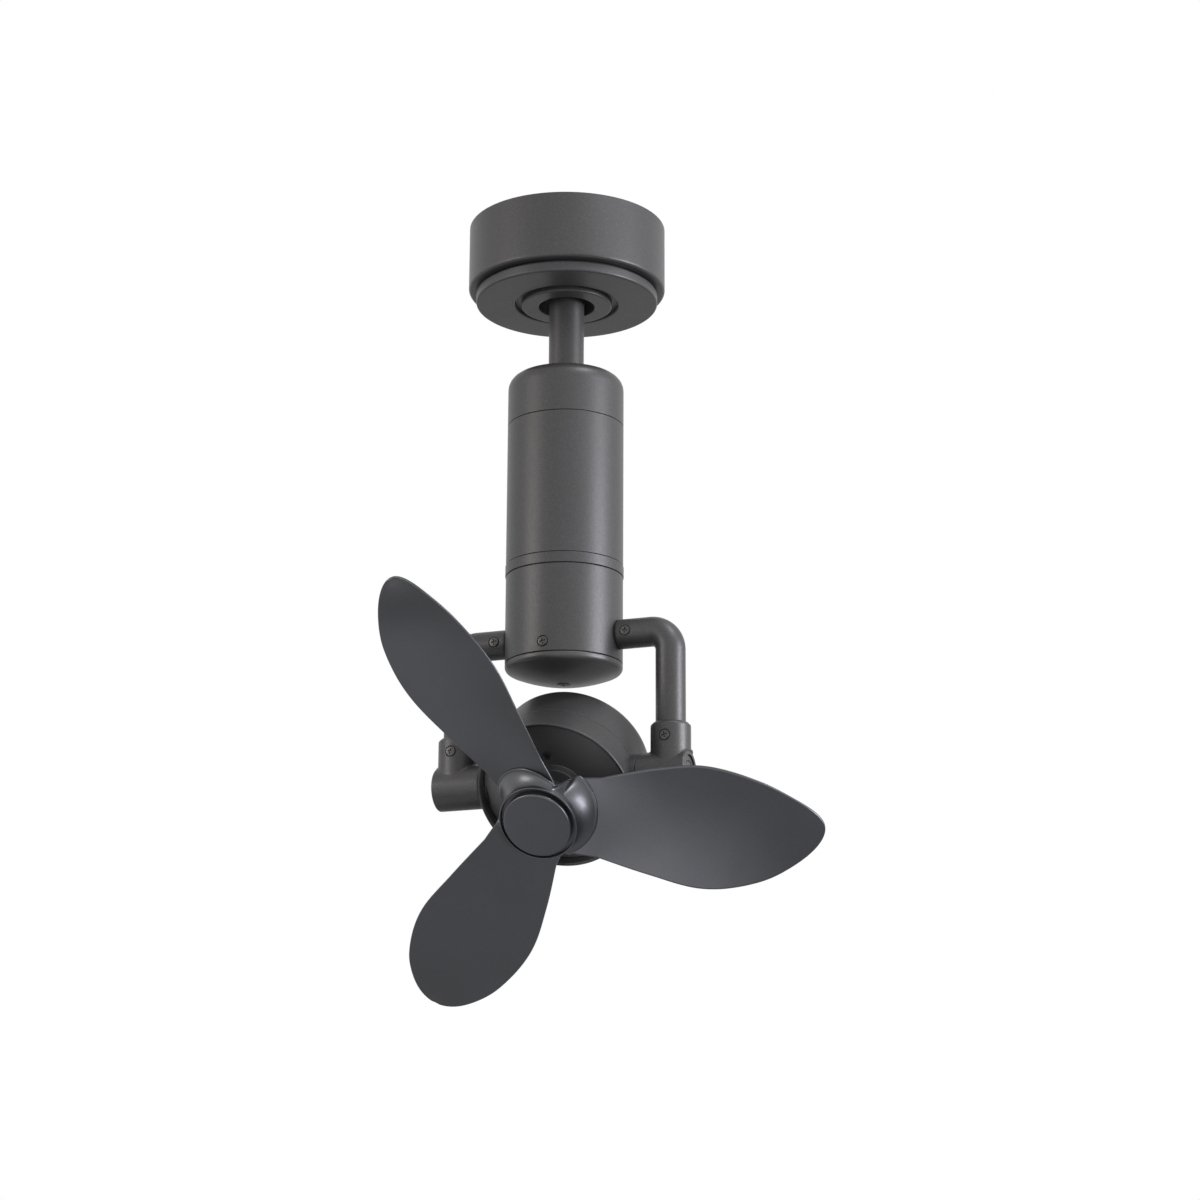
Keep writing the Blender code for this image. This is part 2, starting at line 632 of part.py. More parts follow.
def ceiling_bracket():
    """A bent frame: a plate on the ceiling, two legs, and a seat that holds the hanger ball."""
    half = BRACKET_WIDTH / 2
    top_x = BRACKET_TOP_LENGTH / 2
    seat_low = SEAT_TOP - SEAT_THICKNESS
    bracket = block("ceiling_bracket", (-top_x, -half, -BRACKET_SHEET), (top_x, half, 0), STEELY)
    seat_x = BRACKET_LENGTH / 2
    join(bracket, block("bracket_seat", (-seat_x, -half, seat_low), (seat_x, half, SEAT_TOP)))
    for side in (-1, 1):
        near = side * BRACKET_LEG_X - BRACKET_SHEET / 2
        low = (near, -half + MM, SEAT_TOP - SEAT_THICKNESS / 2)
        high = (near + BRACKET_SHEET, half - MM, -BRACKET_SHEET / 2)
        join(bracket, block("bracket_leg", low, high))
    outline = [(0, BALL_RADIUS)] + arc((0, 0), BALL_RADIUS + BALL_PLAY, 0, -63, 9) + [(0, -BALL_RADIUS)]
    socket = turned("ball_socket", outline, place=(0, 0, BALL_CENTRE), sides=MEDIUM)
    opening = rod("seat_opening", SEAT_OPENING, seat_low - MM, SEAT_TOP, sides=MEDIUM, phase=0)
    slot_half = ROD_RADIUS + RUNNING
    slot = block("rod_slot", (-slot_half, 0, seat_low - MM), (slot_half, BRACKET_WIDTH, SEAT_TOP + MM))
    cut(bracket, socket, opening, slot)
    wire = rod("wire_hole", WIRE_HOLE_RADIUS, -2 * BRACKET_SHEET, BRACKET_SHEET, place=(WIRE_HOLE_X, 0, 0))
    cut(bracket, wire)
    for side in (-1, 1):
        ends = [arc((end, 0), CEILING_SLOT_RADIUS, turn, turn + 180, 8)
                for end, turn in ((CEILING_SLOT_LENGTH / 2, -90), (-CEILING_SLOT_LENGTH / 2, 90))]
        slot = prism("ceiling_slot", [ends[0] + ends[1]], -2 * BRACKET_SHEET, BRACKET_SHEET,
                     place=(side * CEILING_SCREW_X, 0, 0))
        thread = rod("thread_hole", YOKE_SCREW_SHANK + GAP, seat_low - MM, SEAT_TOP + MM,
                     place=(side * CANOPY_SCREW_X, 0, 0), sides=FINE)
        cut(bracket, slot, thread)


def canopy_screws():
    """Long screws that pull the canopy up against the ceiling."""
    low = -CANOPY_HEIGHT - GAP
    length = SEAT_TOP - MM - low
    for side, name in ((-1, "left"), (1, "right")):
        place = (side * CANOPY_SCREW_X, 0, low)
        screw_piece("canopy_screw_" + name, YOKE_SCREW_HEAD, LONG_SCREW_HEIGHT, YOKE_SCREW_SHANK, length,
                    None, place, (180, 0, 0))


# Ball, downrod and housing, which hang together from the bracket

def hanger_ball(parent):
    """A truncated ball with a bore for the downrod and a hole for the cross pin."""
    high = math.degrees(math.asin(BALL_TOP_CUT / BALL_RADIUS))
    low = -math.degrees(math.asin(BALL_BOTTOM_CUT / BALL_RADIUS))
    bore = ROD_RADIUS + GAP
    profile = arc((0, 0), BALL_RADIUS, high, low, 6) + [(bore, -BALL_BOTTOM_CUT), (bore, BALL_TOP_CUT)]
    ball = turned("hanger_ball", profile, NYLONY, parent, sides=MEDIUM)
    reach = BALL_RADIUS + MM
    hole = rod("ball_pin_hole", CROSS_PIN_RADIUS + GAP, -reach, reach, None, parent,
               (0, 0, CROSS_PIN_RISE), (0, 90, 0))
    cut(ball, hole)
    half = CROSS_PIN_LENGTH / 2
    rod("ball_cross_pin", CROSS_PIN_RADIUS, -half, half, STEELY, parent, (0, 0, CROSS_PIN_RISE), (0, 90, 0))
    return hole


def downrod(parent, ball_hole, bolt_hole):
    """A plain tube from the ball to the housing."""
    top = ROD_TOP - BALL_CENTRE
    bottom = HOUSING_TOP - COUPLING_LENGTH - BALL_CENTRE
    tube = ring("downrod", ROD_RADIUS - ROD_WALL, ROD_RADIUS, bottom, top, PAINTED, parent, sides=MEDIUM)
    cut(tube, ball_hole, bolt_hole)


def rod_coupling(parent, bolt_hole):
    """The collar on the rod's lower end; the housing's top rests on its flange."""
    top = HOUSING_TOP - HOUSING_WALL - GAP - BALL_CENTRE
    flange = top - COUPLING_FLANGE_THICKNESS
    bottom = top - COUPLING_LENGTH
    bore = ROD_RADIUS + GAP
    profile = [
        (COUPLING_FLANGE, top),
        (COUPLING_FLANGE, flange),
        (COUPLING_RADIUS, flange),
        (COUPLING_RADIUS, bottom),
        (bore, bottom),
        (bore, top),
    ]
    collar = turned("rod_coupling", profile, STEELY, parent, sides=MEDIUM)
    cut(collar, bolt_hole)


def coupling_bolt_hole(parent):
    """Cutter for the bolt through the coupling and the rod."""
    height = HOUSING_TOP - COUPLING_BOLT_DROP - BALL_CENTRE
    reach = COUPLING_RADIUS + MM
    return rod("bolt_hole", COUPLING_BOLT_RADIUS + GAP, -reach, reach, None, parent,
               (0, 0, height), (90, 0, 0))


def coupling_bolt(parent):
    height = HOUSING_TOP - COUPLING_BOLT_DROP - BALL_CENTRE
    out = COUPLING_RADIUS + GAP
    screw_piece("coupling_bolt", COUPLING_BOLT_HEAD, COUPLING_BOLT_HEIGHT, COUPLING_BOLT_RADIUS, 2 * out,
                parent, (0, -out, height), (90, 0, 0), crossed=False)


def housing_top_cap(parent):
    """The rounded cap, with a spigot that enters the tube below it."""
    top = HOUSING_TOP - BALL_CENTRE
    seam = CAP_BOTTOM - BALL_CENTRE
    hole = ROD_RADIUS + GAP
    spigot = HOUSING_INNER - GAP
    shoulder = HOUSING_RADIUS - CAP_FILLET
    outside = arc((shoulder, top - CAP_FILLET), CAP_FILLET, 90, 0, 3)
    inside = arc((shoulder, top - CAP_FILLET), CAP_FILLET - HOUSING_WALL, 0, 90, 2)
    inside = [(min(radius, spigot - HOUSING_WALL), height) for radius, height in inside]
    profile = [(hole, top)] + outside + [
        (HOUSING_RADIUS, seam),
        (spigot, seam),
        (spigot, seam - SPIGOT_LENGTH),
        (spigot - HOUSING_WALL, seam - SPIGOT_LENGTH),
    ] + inside + [(hole, top - HOUSING_WALL)]
    turned("housing_top_cap", profile, PAINTED, parent)


def housing_tube(parent):
    high = CAP_BOTTOM - GAP - BALL_CENTRE
    low = TUBE_BOTTOM + GAP - BALL_CENTRE
    ring("housing_tube", HOUSING_INNER, HOUSING_RADIUS, low, high, PAINTED, parent, sides=ROUND)


def housing_base(parent):
    """The band at the tube's foot, its plate, and the seat of the lower bearing."""
    top = TUBE_BOTTOM - BALL_CENTRE
    low = BAND_BOTTOM - BALL_CENTRE
    plate = low + BASE_PLATE
    spigot = HOUSING_INNER - GAP
    spigot_top = top + SPIGOT_LENGTH
    seat = BEARING_RADIUS + GAP
    boss = seat + BEARING_BOSS_WALL
    boss_top = plate + BEARING_HEIGHT
    profile = [
        (spigot, spigot_top),
        (spigot, top),
        (BAND_RADIUS, top),
        (BAND_RADIUS, low),
        (BEARING_LIP, low),
        (BEARING_LIP, plate),
        (seat, plate),
        (seat, boss_top),
        (boss, boss_top),
        (boss, plate),
        (spigot - HOUSING_WALL, plate),
        (spigot - HOUSING_WALL, spigot_top),
    ]
    turned("housing_base", profile, PAINTED, parent)


# Orbit drive

def bearing_bridge(parent):
    """The plate on three legs that carries the upper bearing, the motor and the slip ring."""
    top = BRIDGE_TOP - BALL_CENTRE
    bottom = BRIDGE_BOTTOM - BALL_CENTRE
    seat = BEARING_RADIUS + GAP
    boss = seat + BEARING_BOSS_WALL
    boss_low = bottom - BEARING_HEIGHT
    profile = [
        (BRIDGE_RADIUS, top),
        (BRIDGE_RADIUS, bottom),
        (boss, bottom),
        (boss, boss_low),
        (seat, boss_low),
        (seat, bottom),
        (BEARING_LIP, bottom),
        (BEARING_LIP, top),
    ]
    bridge = turned("bearing_bridge", profile, STEELY, parent, sides=MEDIUM)
    foot = BASE_PLATE_TOP + GAP - BALL_CENTRE
    for x, y in circle(BRIDGE_LEG_PITCH, 3, math.radians(30)):
        leg = rod("bridge_leg", BRIDGE_LEG_RADIUS, foot, top - MM, None, parent, (x, y, 0), sides=FINE)
        join(bridge, leg)
    cut(bridge, rod("pinion_way", PINION_SHAFT_RADIUS + MM, bottom - MM, top + MM, None, parent,
                    (0, GEAR_DISTANCE, 0), sides=FINE))


def ball_bearing(name, bore, outer, low, high, parent, look=STEELY):
    """A sealed bearing with a shallow groove between its races on both faces."""
    middle = (outer + bore) / 2
    dip = (high - low) * 0.08
    profile = [
        (bore, high),
        (middle, high - dip),
        (outer, high),
        (outer, low),
        (middle, low + dip),
        (bore, low),
    ]
    turned(name, profile, look, parent, sides=MEDIUM)


def gear_outline(teeth):
    """The outline of a gear: each tooth is a trapezium on the pitch circle.

    A tooth is a quarter of the pitch wide on each side of its middle, less half the backlash, and
    narrows from root to tip.
    """
    pitch_radius = GEAR_MODULE * teeth / 2
    half_pitch = (math.pi * GEAR_MODULE / 4 - GEAR_BACKLASH) / pitch_radius
    slope = math.tan(math.radians(20)) * GEAR_MODULE / pitch_radius
    tip = pitch_radius + 0.8 * GEAR_MODULE
    root = pitch_radius - 1.15 * GEAR_MODULE
    points = []
    for tooth in range(teeth):
        middle = 2 * math.pi * tooth / teeth
        corners = ((root, -half_pitch - 1.0 * slope), (tip, -half_pitch + 0.8 * slope),
                   (tip, half_pitch - 0.8 * slope), (root, half_pitch + 1.0 * slope))
        points += [(radius * math.cos(middle + a), radius * math.sin(middle + a)) for radius, a in corners]
    return points


def orbit_gear(parent):
    """The large gear on the shaft; its hub rests on the lower bearing's inner race."""
    low = GEAR_LOW - PIVOT_Z
    bore = SHAFT_RADIUS + GAP
    outlines = [gear_outline(GEAR_TEETH), circle(bore, MEDIUM, 0.1)]
    gear = prism("orbit_gear", outlines, low, low + GEAR_WIDTH, NYLONY, parent)
    join(gear, ring("gear_hub", bore + GAP, GEAR_HUB_RADIUS, low - GEAR_HUB_HEIGHT, low + MM, None, parent))


def drive_pinion(parent):
    """The small gear with its own shaft, which runs up into the gearmotor.

    A tooth of the large gear points at it, so one of its gaps is turned towards that tooth.
    """
    low = GEAR_LOW - BALL_CENTRE
    turn = (0, 0, 270 - 180 / PINION_TEETH)
    pinion = prism("drive_pinion", [gear_outline(PINION_TEETH)], low, low + GEAR_WIDTH, BRASSY, parent,
                   turn=turn)
    top = BRIDGE_TOP + PINION_SHAFT_GRIP - BALL_CENTRE
    join(pinion, rod("pinion_shaft", PINION_SHAFT_RADIUS, low + MM, top, None, parent, sides=FINE))


def orbit_gearmotor(parent):
    """The can of the geared motor that turns the yoke, standing on the bridge."""
    low = BRIDGE_TOP + GAP - BALL_CENTRE
    high = low + MOTOR_CAN_HEIGHT
    bore = PINION_SHAFT_RADIUS + GAP
    slim = MOTOR_CAN_RADIUS - MOTOR_CAN_STEP
    split = low + MOTOR_GEARBOX_HEIGHT
    profile = [
        (0, high),
        (slim, high),
        (slim, split),
        (MOTOR_CAN_RADIUS, split),
        (MOTOR_CAN_RADIUS, low),
        (bore, low),
        (bore, low + PINION_SHAFT_GRIP),
        (0, low + PINION_SHAFT_GRIP),
    ]
    turned("orbit_gearmotor", profile, STEELY, parent, (0, GEAR_DISTANCE, 0), sides=20)


def slip_ring(parent):
    """The rotary contact that feeds the turning yoke; its nose enters the hollow shaft."""
    seat = BRIDGE_TOP + GAP - BALL_CENTRE
    under = SHAFT_TOP + RUNNING - BALL_CENTRE
    high = seat + SLIP_RING_HEIGHT
    profile = [
        (0, high),
        (SLIP_RING_RADIUS, high),
        (SLIP_RING_RADIUS, seat),
        (SHAFT_RADIUS + RUNNING, seat),
        (SHAFT_RADIUS + RUNNING, under),
        (SLIP_RING_NOSE, under),
        (SLIP_RING_NOSE, under - SLIP_RING_NOSE_LENGTH),
        (0, under - SLIP_RING_NOSE_LENGTH),
    ]
    turned("slip_ring", profile, BLACKED, parent, sides=SMALL)


# Yoke: heights below are measured from the tilt axis, where its pivot stands

def orbit_shaft(parent):
    """The hollow shaft that carries the yoke; the hub rests on its flange."""
    top = SHAFT_TOP - PIVOT_Z
    flange = FLANGE_TOP - PIVOT_Z
    profile = [
        (SHAFT_RADIUS, top),
        (SHAFT_RADIUS, flange),
        (SHAFT_FLANGE_RADIUS, flange),
        (SHAFT_FLANGE_RADIUS, flange - SHAFT_FLANGE_THICKNESS),
        (SHAFT_BORE, flange - SHAFT_FLANGE_THICKNESS),
        (SHAFT_BORE, top),
    ]
    turned("orbit_shaft", profile, STEELY, parent, sides=20)


def yoke_hub(parent, screw_holes):
    """The turning drum below the band: a top plate and a wall with holes for the cross tube."""
    top = HUB_TOP - PIVOT_Z
    low = HUB_BOTTOM - PIVOT_Z
    inner = HUB_RADIUS - HUB_WALL
    profile = [
        (SHAFT_RADIUS + GAP, top),
        (HUB_RADIUS, top),
        (HUB_RADIUS, low),
        (inner, low),
        (inner, top - HUB_TOP_PLATE),
        (SHAFT_RADIUS + GAP, top - HUB_TOP_PLATE),
    ]
    hub = turned("yoke_hub", profile, PAINTED, parent)
    reach = HUB_RADIUS + MM
    hole = rod("cross_tube_hole", CROSS_TUBE_RADIUS + GAP, -reach, reach, None, parent,
               (0, 0, ARM_Z - PIVOT_Z), (0, 90, 0), MEDIUM)
    cut(hub, hole, *screw_holes)


def yoke_cross_tube(parent, dome_hole):
    """The tube through the hub, over whose ends the arms slide."""
    half = CROSS_TUBE_LENGTH / 2
    tube = ring("yoke_cross_tube", CROSS_TUBE_RADIUS - CROSS_TUBE_WALL, CROSS_TUBE_RADIUS, -half, half,
                STEELY, parent, (0, 0, ARM_Z - PIVOT_Z), (0, 90, 0), MEDIUM)
    cut(tube, dome_hole)


def dome_profile(shrink, steps):
    """Half of the dome's outline, from its lip to the axis: a corner, then a shallow curve."""
    lip = HUB_BOTTOM - GAP - DOME_LIP - PIVOT_Z
    edge = HUB_RADIUS - shrink
    corner = [(edge - DOME_CORNER * (1 - math.cos(a)), lip + shrink - DOME_CORNER * math.sin(a))
              for a in (0, math.radians(DOME_CORNER_TURN))]
    start_radius = corner[-1][0]
    start_height = corner[-1][1]
    depth = lip + shrink - DOME_DEPTH
    curve = []
    for i in range(1, steps + 1):
        part = i / steps
        radius = start_radius * (1 - part)
        height = depth + (start_height - depth) * (1 - part) ** DOME_POWER
        curve.append((radius, height))
    return corner + curve


def dome_cap(parent, screw_holes):
    """The shallow cap under the hub, with a collar that fits up inside it."""
    top = HUB_BOTTOM - GAP - PIVOT_Z
    collar = HUB_RADIUS - HUB_WALL - GAP
    collar_top = ARM_Z - PIVOT_Z - CROSS_TUBE_RADIUS - GAP
    outside = dome_profile(0, 4)
    inside = [point for point in reversed(dome_profile(DOME_WALL, 2)) if point[0] < collar - DOME_COLLAR_WALL]
    profile = inside + [
        (collar - DOME_COLLAR_WALL, top),
        (collar - DOME_COLLAR_WALL, collar_top),
        (collar, collar_top),
        (collar, top),
        (HUB_RADIUS, top),
    ] + outside
    cap = turned("dome_cap", profile, PAINTED, parent)
    cut(cap, *screw_holes)


def dome_screw_holes(parent):
    """Cutters for the centre screw: its shank, and the pocket that its head sits in."""
    low = HUB_BOTTOM - GAP - DOME_LIP - DOME_DEPTH - PIVOT_Z
    high = ARM_Z - PIVOT_Z - CROSS_TUBE_RADIUS + CROSS_TUBE_WALL + MM
    shank = rod("dome_screw_hole", DOME_SCREW_RADIUS + GAP, low - MM, high, None, parent, sides=FINE)
    pocket = rod("dome_screw_pocket", DOME_SCREW_HEAD + GAP, low - MM, low + DOME_SCREW_SUNK, None, parent)
    return shank, pocket


def dome_screw(parent):
    """The centre screw, which reaches up to the cross tube."""
    seat = HUB_BOTTOM - GAP - DOME_LIP - DOME_DEPTH - PIVOT_Z + DOME_SCREW_SUNK - GAP
    length = ARM_Z - PIVOT_Z - CROSS_TUBE_RADIUS + CROSS_TUBE_WALL - seat
    screw_piece("dome_screw", DOME_SCREW_HEAD, DOME_SCREW_HEIGHT, DOME_SCREW_RADIUS, length, parent,
                (0, 0, seat), (180, 0, 0), PAINTED)


def side_screw_cutters(parent, x, surface, height, depth):
    """Cutters for a screw in the front of a round piece: its pocket and its hole."""
    floor = surface - YOKE_SCREW_SUNK
    pocket = rod("screw_pocket", YOKE_SCREW_HEAD + YOKE_SCREW_ROOM, floor, surface + MM, None, parent,
                 (x, 0, height), (90, 0, 0))
    hole = rod("screw_hole", YOKE_SCREW_SHANK + GAP, surface - depth - 2 * MM, floor + GAP, None, parent,
               (x, 0, height), (90, 0, 0), FINE)
    return pocket, hole


def side_screw(name, parent, x, surface, height, depth):
    """A cross-head screw that sits in such a pocket."""
    seat = surface - YOKE_SCREW_SUNK + GAP
    screw_piece(name, YOKE_SCREW_HEAD, YOKE_SCREW_HEIGHT, YOKE_SCREW_SHANK, depth - YOKE_SCREW_SUNK - GAP,
                parent, (x, -seat, height), (90, 0, 0))


def arm_route(side, extra):
    """Points of an arm's centre line: out from the hub, round the bend and down to the socket."""
    out_z = ARM_Z - PIVOT_Z
    bend_x = ARM_X - ARM_BEND
    corner = arc((bend_x, out_z - ARM_BEND), ARM_BEND, 90, 0, 6)
    start = (HUB_RADIUS - 4 * MM - extra, out_z)
    end = (ARM_X, ARM_BOTTOM - PIVOT_Z - extra)
    return [(side * x, 0, z) for x, z in [start] + corner + [end]]


def yoke_arm(name, side, parent, holes):
    """A bent tube between the hub and the tee, coped to the hub's wall."""
    arm = pipe(name, arm_route(side, 0), ARM_RADIUS, PAINTED, parent)
    bore = pipe(name + "_bore", arm_route(side, MM), ARM_RADIUS - ARM_WALL, None, parent)
    cope = rod(name + "_cope", HUB_RADIUS + GAP, HUB_BOTTOM - PIVOT_Z, HUB_TOP - PIVOT_Z, None, parent,
               sides=ROUND, phase=0)
    cut(arm, bore, cope, *holes)


def arm_tee(name, side, parent, holes):
    """The cast tee at an arm's foot: a socket for the tube above a barrel for the trunnion."""
    bore = TRUNNION_RADIUS + GAP
    cap_seat = PIVOT_CAP_RADIUS + GAP
    cap_floor = BARREL_OUTER - PIVOT_CAP_DEPTH
    barrel = [
        (0, BARREL_OUTER),
        (BARREL_RADIUS - BARREL_EDGE, BARREL_OUTER),
        (BARREL_RADIUS, BARREL_OUTER - BARREL_EDGE),
        (BARREL_RADIUS, BARREL_INNER),
        (0, BARREL_INNER),
    ]
    turn = (0, side * 90, 0)
    tee = turned(name, barrel, PAINTED, parent, turn=turn, sides=MEDIUM)
    top = SOCKET_TOP - PIVOT_Z
    socket = [
        (0, top),
        (SOCKET_RADIUS - SOCKET_SHOULDER, top),
        (SOCKET_RADIUS, top - SOCKET_SHOULDER),
        (SOCKET_RADIUS, 0),
        (0, 0),
    ]
    place = (side * ARM_X, 0, 0)
    join(tee, turned(name + "_socket", socket, None, parent, place, sides=MEDIUM, phase=0))
    floor = ARM_BOTTOM - GAP - PIVOT_Z
    tube_seat = ARM_RADIUS + GAP
    bores = [
        (0, top + MM),
        (tube_seat, top + MM),
        (tube_seat, floor),
        (WIRE_WAY_RADIUS, floor),
        (WIRE_WAY_RADIUS, 0),
        (0, 0),
    ]
    cross_bores = [
        (0, BARREL_OUTER + MM),
        (cap_seat, BARREL_OUTER + MM),
        (cap_seat, cap_floor),
        (bore, cap_floor),
        (bore, BARREL_INNER - MM),
        (0, BARREL_INNER - MM),
    ]
    cut(tee, turned(name + "_cross_bore", cross_bores, None, parent, turn=turn, sides=MEDIUM))
    cut(tee, turned(name + "_tube_bore", bores, None, parent, place, sides=MEDIUM))
    cut(tee, *holes)


def pivot_cap(name, side, parent):
    """The cap in a barrel's outer end, with a plug that enters the trunnion."""
    face = BARREL_OUTER - PIVOT_CAP_SUNK
    back = BARREL_OUTER - PIVOT_CAP_DEPTH + GAP
    plug = TRUNNION_BORE - GAP
    inner = PIVOT_CAP_RADIUS - PIVOT_CAP_BORDER
    profile = [
        (0, face),
        (inner, face),
        (inner + 0.75 * PIVOT_CAP_GROOVE, face - PIVOT_CAP_GROOVE),
        (inner + 1.5 * PIVOT_CAP_GROOVE, face),
        (PIVOT_CAP_RADIUS, face),
        (PIVOT_CAP_RADIUS, back),
        (plug, back),
        (plug, back - PIVOT_CAP_PLUG),
        (0, back - PIVOT_CAP_PLUG),
    ]
    turned(name, profile, PAINTED, parent, turn=(0, side * 90, 0), sides=MEDIUM)


# Fan head: local Z points out of the front of the fan

def trunnion(name, side, parent):
    """The pivot between the drum and a tee: tube, saddle boss, neck and inner flange."""
    boss_out = BARREL_INNER - GAP
    flange_out = TRUNNION_FLANGE_X + TRUNNION_FLANGE_THICKNESS
    boss_in = DRUM_RADIUS - 4 * MM
    profile = [
        (TRUNNION_RADIUS, TRUNNION_END),
        (TRUNNION_RADIUS, boss_out),
        (TRUNNION_BOSS, boss_out),
        (TRUNNION_BOSS, boss_in),
        (TRUNNION_NECK, boss_in),
        (TRUNNION_NECK, flange_out),
        (TRUNNION_FLANGE, flange_out),
        (TRUNNION_FLANGE, TRUNNION_FLANGE_X),
        (TRUNNION_BORE, TRUNNION_FLANGE_X),
        (TRUNNION_BORE, TRUNNION_END),
    ]
    turn = (0, side * 90, 0)
    piece = turned(name, profile, PAINTED, parent, turn=turn, sides=MEDIUM)
    outer = DRUM_RADIUS + GAP
    reach = 2 * TRUNNION_BOSS
    saddle = ring(name + "_saddle", DRUM_INNER - 2 * MM, outer, -reach, reach, None, parent, sides=ROUND,
                  phase=0)
    keep = rod(name + "_keep", TRUNNION_NECK, 0, DRUM_RADIUS + MM, None, parent, turn=turn, sides=MEDIUM,
               phase=0)
    cut(saddle, keep)
    cut(piece, saddle)
    for end in (-1, 1):
        near, far = sorted((end * TRUNNION_FLAT, end * 2 * TRUNNION_FLAT))
        low = (-DRUM_INNER, -DRUM_INNER, near)
        high = (DRUM_INNER, DRUM_INNER, far)
        cut(piece, block(name + "_flat", low, high, None, parent))


def neck_hole(parent):
    """Cutter for both necks, through the walls of the two halves of the drum."""
    reach = DRUM_RADIUS + 2 * MM
    return rod("neck_hole", TRUNNION_NECK + GAP, -reach, reach, None, parent, turn=(0, 90, 0), sides=20)


def motor_rear_shell(parent, hole):
    """The rear half of the drum, with seats for the stator and the rear bearing."""
    back = DRUM_BACK + DRUM_WALL
    seam = -GAP / 2
    seat = HEAD_BEARING_RADIUS + GAP
    seat_out = seat + HEAD_BEARING_SEAT_WALL
    seat_top = back + HEAD_BEARING_HEIGHT
    stator = STATOR_RADIUS + GAP
    rib_top = STATOR_LOW + STATOR_GRIP
    corner = DRUM_RADIUS - DRUM_CORNER
    inside = arc((corner, DRUM_BACK + DRUM_CORNER), DRUM_CORNER - DRUM_WALL, -90, 0, 1)
    outside = arc((corner, DRUM_BACK + DRUM_CORNER), DRUM_CORNER, 0, -90, 3)
    profile = [
        (0, back),
        (seat, back),
        (seat, seat_top),
        (seat_out, seat_top),
        (seat_out, back),
        (stator - DRUM_WALL, back),
        (stator - DRUM_WALL, STATOR_LOW - GAP),
        (stator, STATOR_LOW - GAP),
        (stator, rib_top),
        (stator + DRUM_WALL, back),
    ] + inside + [(DRUM_INNER, seam), (DRUM_RADIUS, seam)] + outside + [(0, DRUM_BACK)]
    shell = turned("motor_rear_shell", profile, PAINTED, parent)
    cut(shell, hole)


def motor_front_ring(parent, hole):
    """The front half of the drum, with the ledge that the front plate sits on."""
    ledge_top = PLATE_BACK - GAP
    ledge_low = ledge_top - LEDGE_THICKNESS
    profile = [
        (DRUM_RADIUS - DRUM_LIP, DRUM_FRONT),
        (DRUM_RADIUS, DRUM_FRONT - DRUM_LIP),
        (DRUM_RADIUS, GAP / 2),
        (DRUM_INNER, GAP / 2),
        (DRUM_INNER, ledge_low),
        (DRUM_INNER - LEDGE_WIDTH, ledge_low),
        (DRUM_INNER - LEDGE_WIDTH, ledge_top),
        (DRUM_INNER, ledge_top),
        (DRUM_INNER, DRUM_FRONT),
    ]
    shell = turned("motor_front_ring", profile, PAINTED, parent)
    cut(shell, hole)


def plate_screw_places():
    """Where the three screws of the front plate stand."""
    return circle(PLATE_SCREW_PITCH, 3, math.radians(PLATE_SCREW_ANGLE))


def plate_screw_holes(parent):
    return [rod("plate_hole", PLATE_SCREW_SHANK + GAP, BELL_BACK - MM, PLATE_FRONT + MM, None, parent,
                (x, y, 0), sides=FINE) for x, y in plate_screw_places()]


def motor_front_plate(parent, holes):
    """The recessed plate in the drum's front, with a raised boss round the axle."""
    rim = DRUM_INNER - GAP
    boss = PLATE_FRONT + PLATE_BOSS_HEIGHT
    bore = AXLE_RADIUS + RUNNING
    profile = [
        (bore, boss),
        (PLATE_BOSS_RADIUS - PLATE_BOSS_SLOPE, boss),
        (PLATE_BOSS_RADIUS, PLATE_FRONT),
        (rim, PLATE_FRONT),
        (rim, PLATE_BACK),
        (bore, PLATE_BACK),
    ]
    plate = turned("motor_front_plate", profile, PAINTED, parent)
    cut(plate, *holes)


def plate_screws(parent):
    """Three screws that hold the motor's end bell to the front plate."""
    seat = PLATE_FRONT + GAP
    length = seat - BELL_BACK
    for i, (x, y) in enumerate(plate_screw_places()):
        screw_piece(f"plate_screw_{i + 1}", PLATE_SCREW_HEAD, PLATE_SCREW_HEIGHT, PLATE_SCREW_SHANK, length,
                    parent, (x, y, seat), (0, 0, 0), crossed=False)


def motor_end_bell(parent, holes):
    """The motor's front cover: a skirt on the stator and a seat for the front bearing."""
    seat = HEAD_BEARING_RADIUS + GAP
    seat_out = seat + HEAD_BEARING_SEAT_WALL
    seat_low = BELL_BACK - HEAD_BEARING_HEIGHT
    skirt_low = STATOR_HIGH + GAP
    profile = [
        (AXLE_RADIUS + AXLE_ROOM, BELL_FRONT),
        (STATOR_RADIUS, BELL_FRONT),
        (STATOR_RADIUS, skirt_low),
        (STATOR_RADIUS - DRUM_WALL, skirt_low),
        (STATOR_RADIUS - DRUM_WALL, BELL_BACK),
        (seat_out, BELL_BACK),
        (seat_out, seat_low),
        (seat, seat_low),
        (seat, BELL_BACK),
        (AXLE_RADIUS + AXLE_ROOM, BELL_BACK),
    ]
    bell = turned("motor_end_bell", profile, STEELY, parent, sides=MEDIUM)
    cut(bell, *holes)


def slot_outline(inner, outer, width_angle):
    """The bore's outline: teeth that face the rotor, and slots that reach to the outer radius."""
    points = []
    step = 2 * math.pi / STATOR_TEETH
    mouth = 0.28 * width_angle
    for i in range(STATOR_TEETH):
        middle = step * i
        corners = ((STATOR_BORE, middle - step / 2 + mouth), (STATOR_BORE, middle),
                   (STATOR_BORE, middle + step / 2 - mouth), (inner, middle + step / 2 - mouth),
                   (inner, middle + step / 2 - width_angle), (outer, middle + step / 2 - 0.9 * width_angle),
                   (outer, middle + step / 2 + 0.9 * width_angle), (inner, middle + step / 2 + width_angle),
                   (inner, middle + step / 2 + mouth))
        points += [(radius * math.cos(a), radius * math.sin(a)) for radius, a in corners]
    return points


